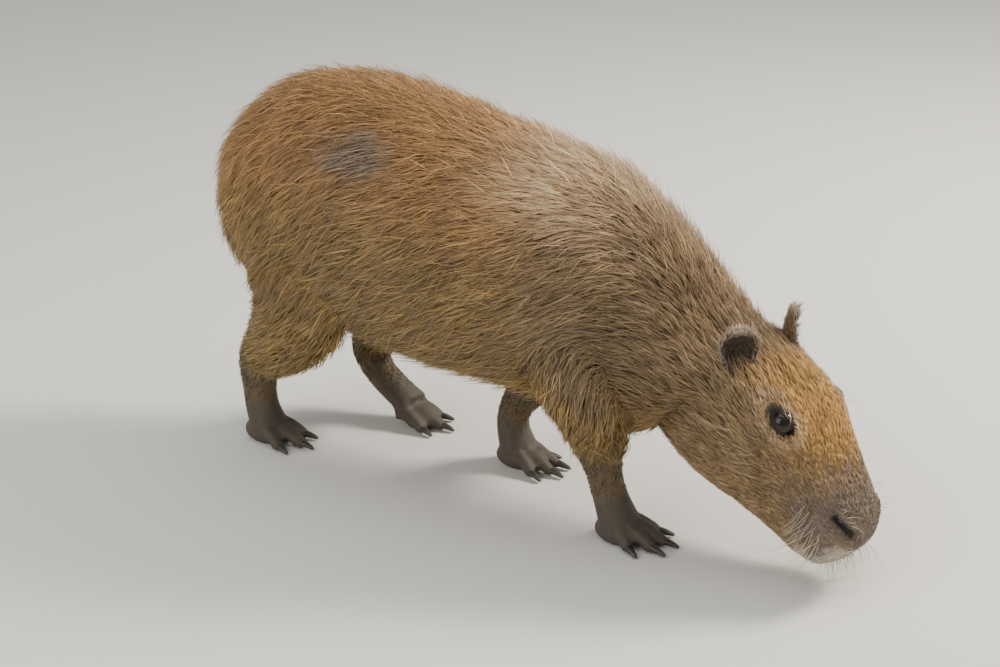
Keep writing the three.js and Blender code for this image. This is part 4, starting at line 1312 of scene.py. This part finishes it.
class CAPYBARA_OT_coat(bpy.types.Operator):
    """Lay the coat over the skin in tufts: long on the body, short on the face and legs."""
    bl_idname = "capybara.coat"
    bl_label = "Coat"

    def execute(self, context):
        sizes = context.scene.capybara_coat
        skin = WORK["skin"]
        place, field = skin["place"], skin["field"]
        rng = np.random.default_rng(11)
        head, leg = place["headness"], place["leg"]
        low = smooth(52, 88, place["points"][:, 2])
        hair = hair_material("coat_hair", 0.52, 0.35)
        short = hair_material("short_hair", 0.6, 0.3)
        trunk = (1 - head) * (1 - leg) * low
        on_leg = leg * low * (1 - head)
        tufts = grow_tufts(skin, sizes.body_tufts, trunk + 0.15 * on_leg, rng, BODY_LOCK, sizes.wild)
        coat_pieces("coat", tufts, hair)
        open_eye = smooth(1.1, 1.5, eye_ring(place["head"]))
        bare = smooth(0.045, 0.075, field["colour"].mean(1))
        face = head * open_eye * (0.25 + 0.75 * bare) * (1 + smooth(60, 150, place["head"][:, 0]))
        tufts = grow_tufts(skin, sizes.face_tufts, face, rng, FACE_LOCK, SHORT_WILD)
        coat_pieces("face_fur", tufts, short)
        tufts = grow_tufts(skin, sizes.leg_tufts, on_leg, rng, LEG_LOCK, SHORT_WILD)
        tuft_piece("leg_fur", tufts, short, "short_fur")
        return {"FINISHED"}


class CAPYBARA_OT_eyes(bpy.types.Operator):
    """Set the eyes in the head, with their lids round them."""
    bl_idname = "capybara.eyes"
    bl_label = "Eyes and lids"

    def execute(self, context):
        wet = eye_material()
        rim = skin_material()
        rim.name = "lid_skin"
        for side, word in ((-1, "right"), (1, "left")):
            grid, colour = eyeball(side)
            piece = new_piece(f"eyeball_{word}", *tube(grid), wet, "eye")
            put_colour(piece.data, colour)
            turn_out(piece.data)
            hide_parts(f"eye_{word}")
            lids = lid_rings(side)
            rows, around = lids.shape[:2]
            faces = band_faces(rows, around).tolist()
            piece = new_piece(f"lids_{word}", lids.reshape(-1, 3), faces, rim, "foot_skin")
            put_colour(piece.data, np.repeat(LID_ROWS[:, 3], around)[:, None] * TONES["lid"])
            turn_out(piece.data, eye_centre(side))
        return {"FINISHED"}


class CAPYBARA_OT_ears(bpy.types.Operator):
    """Make the two ears, each a thin cup with short fur."""
    bl_idname = "capybara.ears"
    bl_label = "Ears"

    def execute(self, context):
        skin_finish = skin_material()
        skin_finish.name = "ear_skin"
        fur = hair_material("ear_hair", 0.6, 0.3)
        for side, word in ((-1, "right"), (1, "left")):
            grid, behind, high = ear_grid(side)
            piece = new_piece(f"ear_skin_{word}", *tube(grid), skin_finish, "short_fur")
            light = np.where(behind, 1.0, 0.42) * np.interp(high, [0, 20, 41], [0.7, 0.9, 1.4])[:, None]
            put_colour(piece.data, light.ravel()[:, None] * TONES["ear"] * 0.6)
            turn_out(piece.data)
            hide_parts(f"ear_{word}")
            ear_fur(side, word, grid, behind, high, piece.data, fur)
        return {"FINISHED"}


class CAPYBARA_OT_claws(bpy.types.Operator):
    """Make the blunt claws of the four feet."""
    bl_idname = "capybara.claws"
    bl_label = "Claws"

    def execute(self, context):
        horn = horn_material()
        shade = np.interp(np.linspace(0, 1, CLAW_RINGS), [0, 0.5, 1], [0.8, 1.0, 2.0]).repeat(TOE_AROUND)
        for foot, (_, toes, *_) in FEET.items():
            for i, toe in enumerate(toes):
                piece = new_piece(f"nail_{foot}_{i + 1}", *tube(claw_rings(foot, toe)), horn, "claw")
                put_colour(piece.data, shade[:, None] * TONES["claw"])
                turn_out(piece.data)
                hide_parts(f"{foot}_{i + 1}")
        return {"FINISHED"}


class CAPYBARA_OT_whiskers(bpy.types.Operator):
    """Set the pale whiskers on the muzzle, over the eyes and on the cheeks."""
    bl_idname = "capybara.whiskers"
    bl_label = "Whiskers and lashes"

    def execute(self, context):
        look = context.scene.capybara_whiskers
        whisker_piece(look.length / MM, tuple(look.colour))
        return {"FINISHED"}


class CAPYBARA_OT_stage(bpy.types.Operator):
    """Set out the plain floor, the soft lights and the camera."""
    bl_idname = "capybara.stage"
    bl_label = "Floor, lights and camera"

    def execute(self, context):
        look = context.scene.capybara_stage
        lay_floor(tuple(look.floor_colour))
        hang_lights(look.key_power, look.fill_power)
        set_camera()
        return {"FINISHED"}


class CAPYBARA_PT_panel(bpy.types.Panel):
    """Lists the pieces of the animal in the order they are made."""
    bl_label = "Capybara"
    bl_idname = "CAPYBARA_PT_panel"
    bl_space_type = "VIEW_3D"
    bl_region_type = "UI"
    bl_category = "Capybara"

    def draw(self, context):
        scene = context.scene
        for key in GROUPS:
            group, box = getattr(scene, key), self.layout.box()
            for name in group.__annotations__:
                box.prop(group, name)
        for operator in OPERATORS:
            self.layout.operator(operator.bl_idname)


GROUPS = {"capybara_skin": CapybaraSkin, "capybara_coat": CapybaraCoat,
          "capybara_whiskers": CapybaraWhiskers, "capybara_stage": CapybaraStage}
OPERATORS = (CAPYBARA_OT_skin, CAPYBARA_OT_coat, CAPYBARA_OT_eyes, CAPYBARA_OT_ears, CAPYBARA_OT_claws,
             CAPYBARA_OT_whiskers, CAPYBARA_OT_stage)
CLASSES = (*GROUPS.values(), *OPERATORS, CAPYBARA_PT_panel)


def register():
    """Adds the classes, and their sizes and colours to the scene."""
    for item in CLASSES:
        bpy.utils.register_class(item)
    for name, group in GROUPS.items():
        setattr(bpy.types.Scene, name, bpy.props.PointerProperty(type=group))


def unregister():
    """Takes them away again."""
    for name in GROUPS:
        delattr(bpy.types.Scene, name)
    for item in reversed(CLASSES):
        bpy.utils.unregister_class(item)


def main():
    """Registers the add-on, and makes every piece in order."""
    register()
    bpy.ops.capybara.skin()
    bpy.ops.capybara.coat()
    bpy.ops.capybara.eyes()
    bpy.ops.capybara.ears()
    bpy.ops.capybara.claws()
    bpy.ops.capybara.whiskers()
    bpy.ops.capybara.stage()


if __name__ == "__main__":
    main()
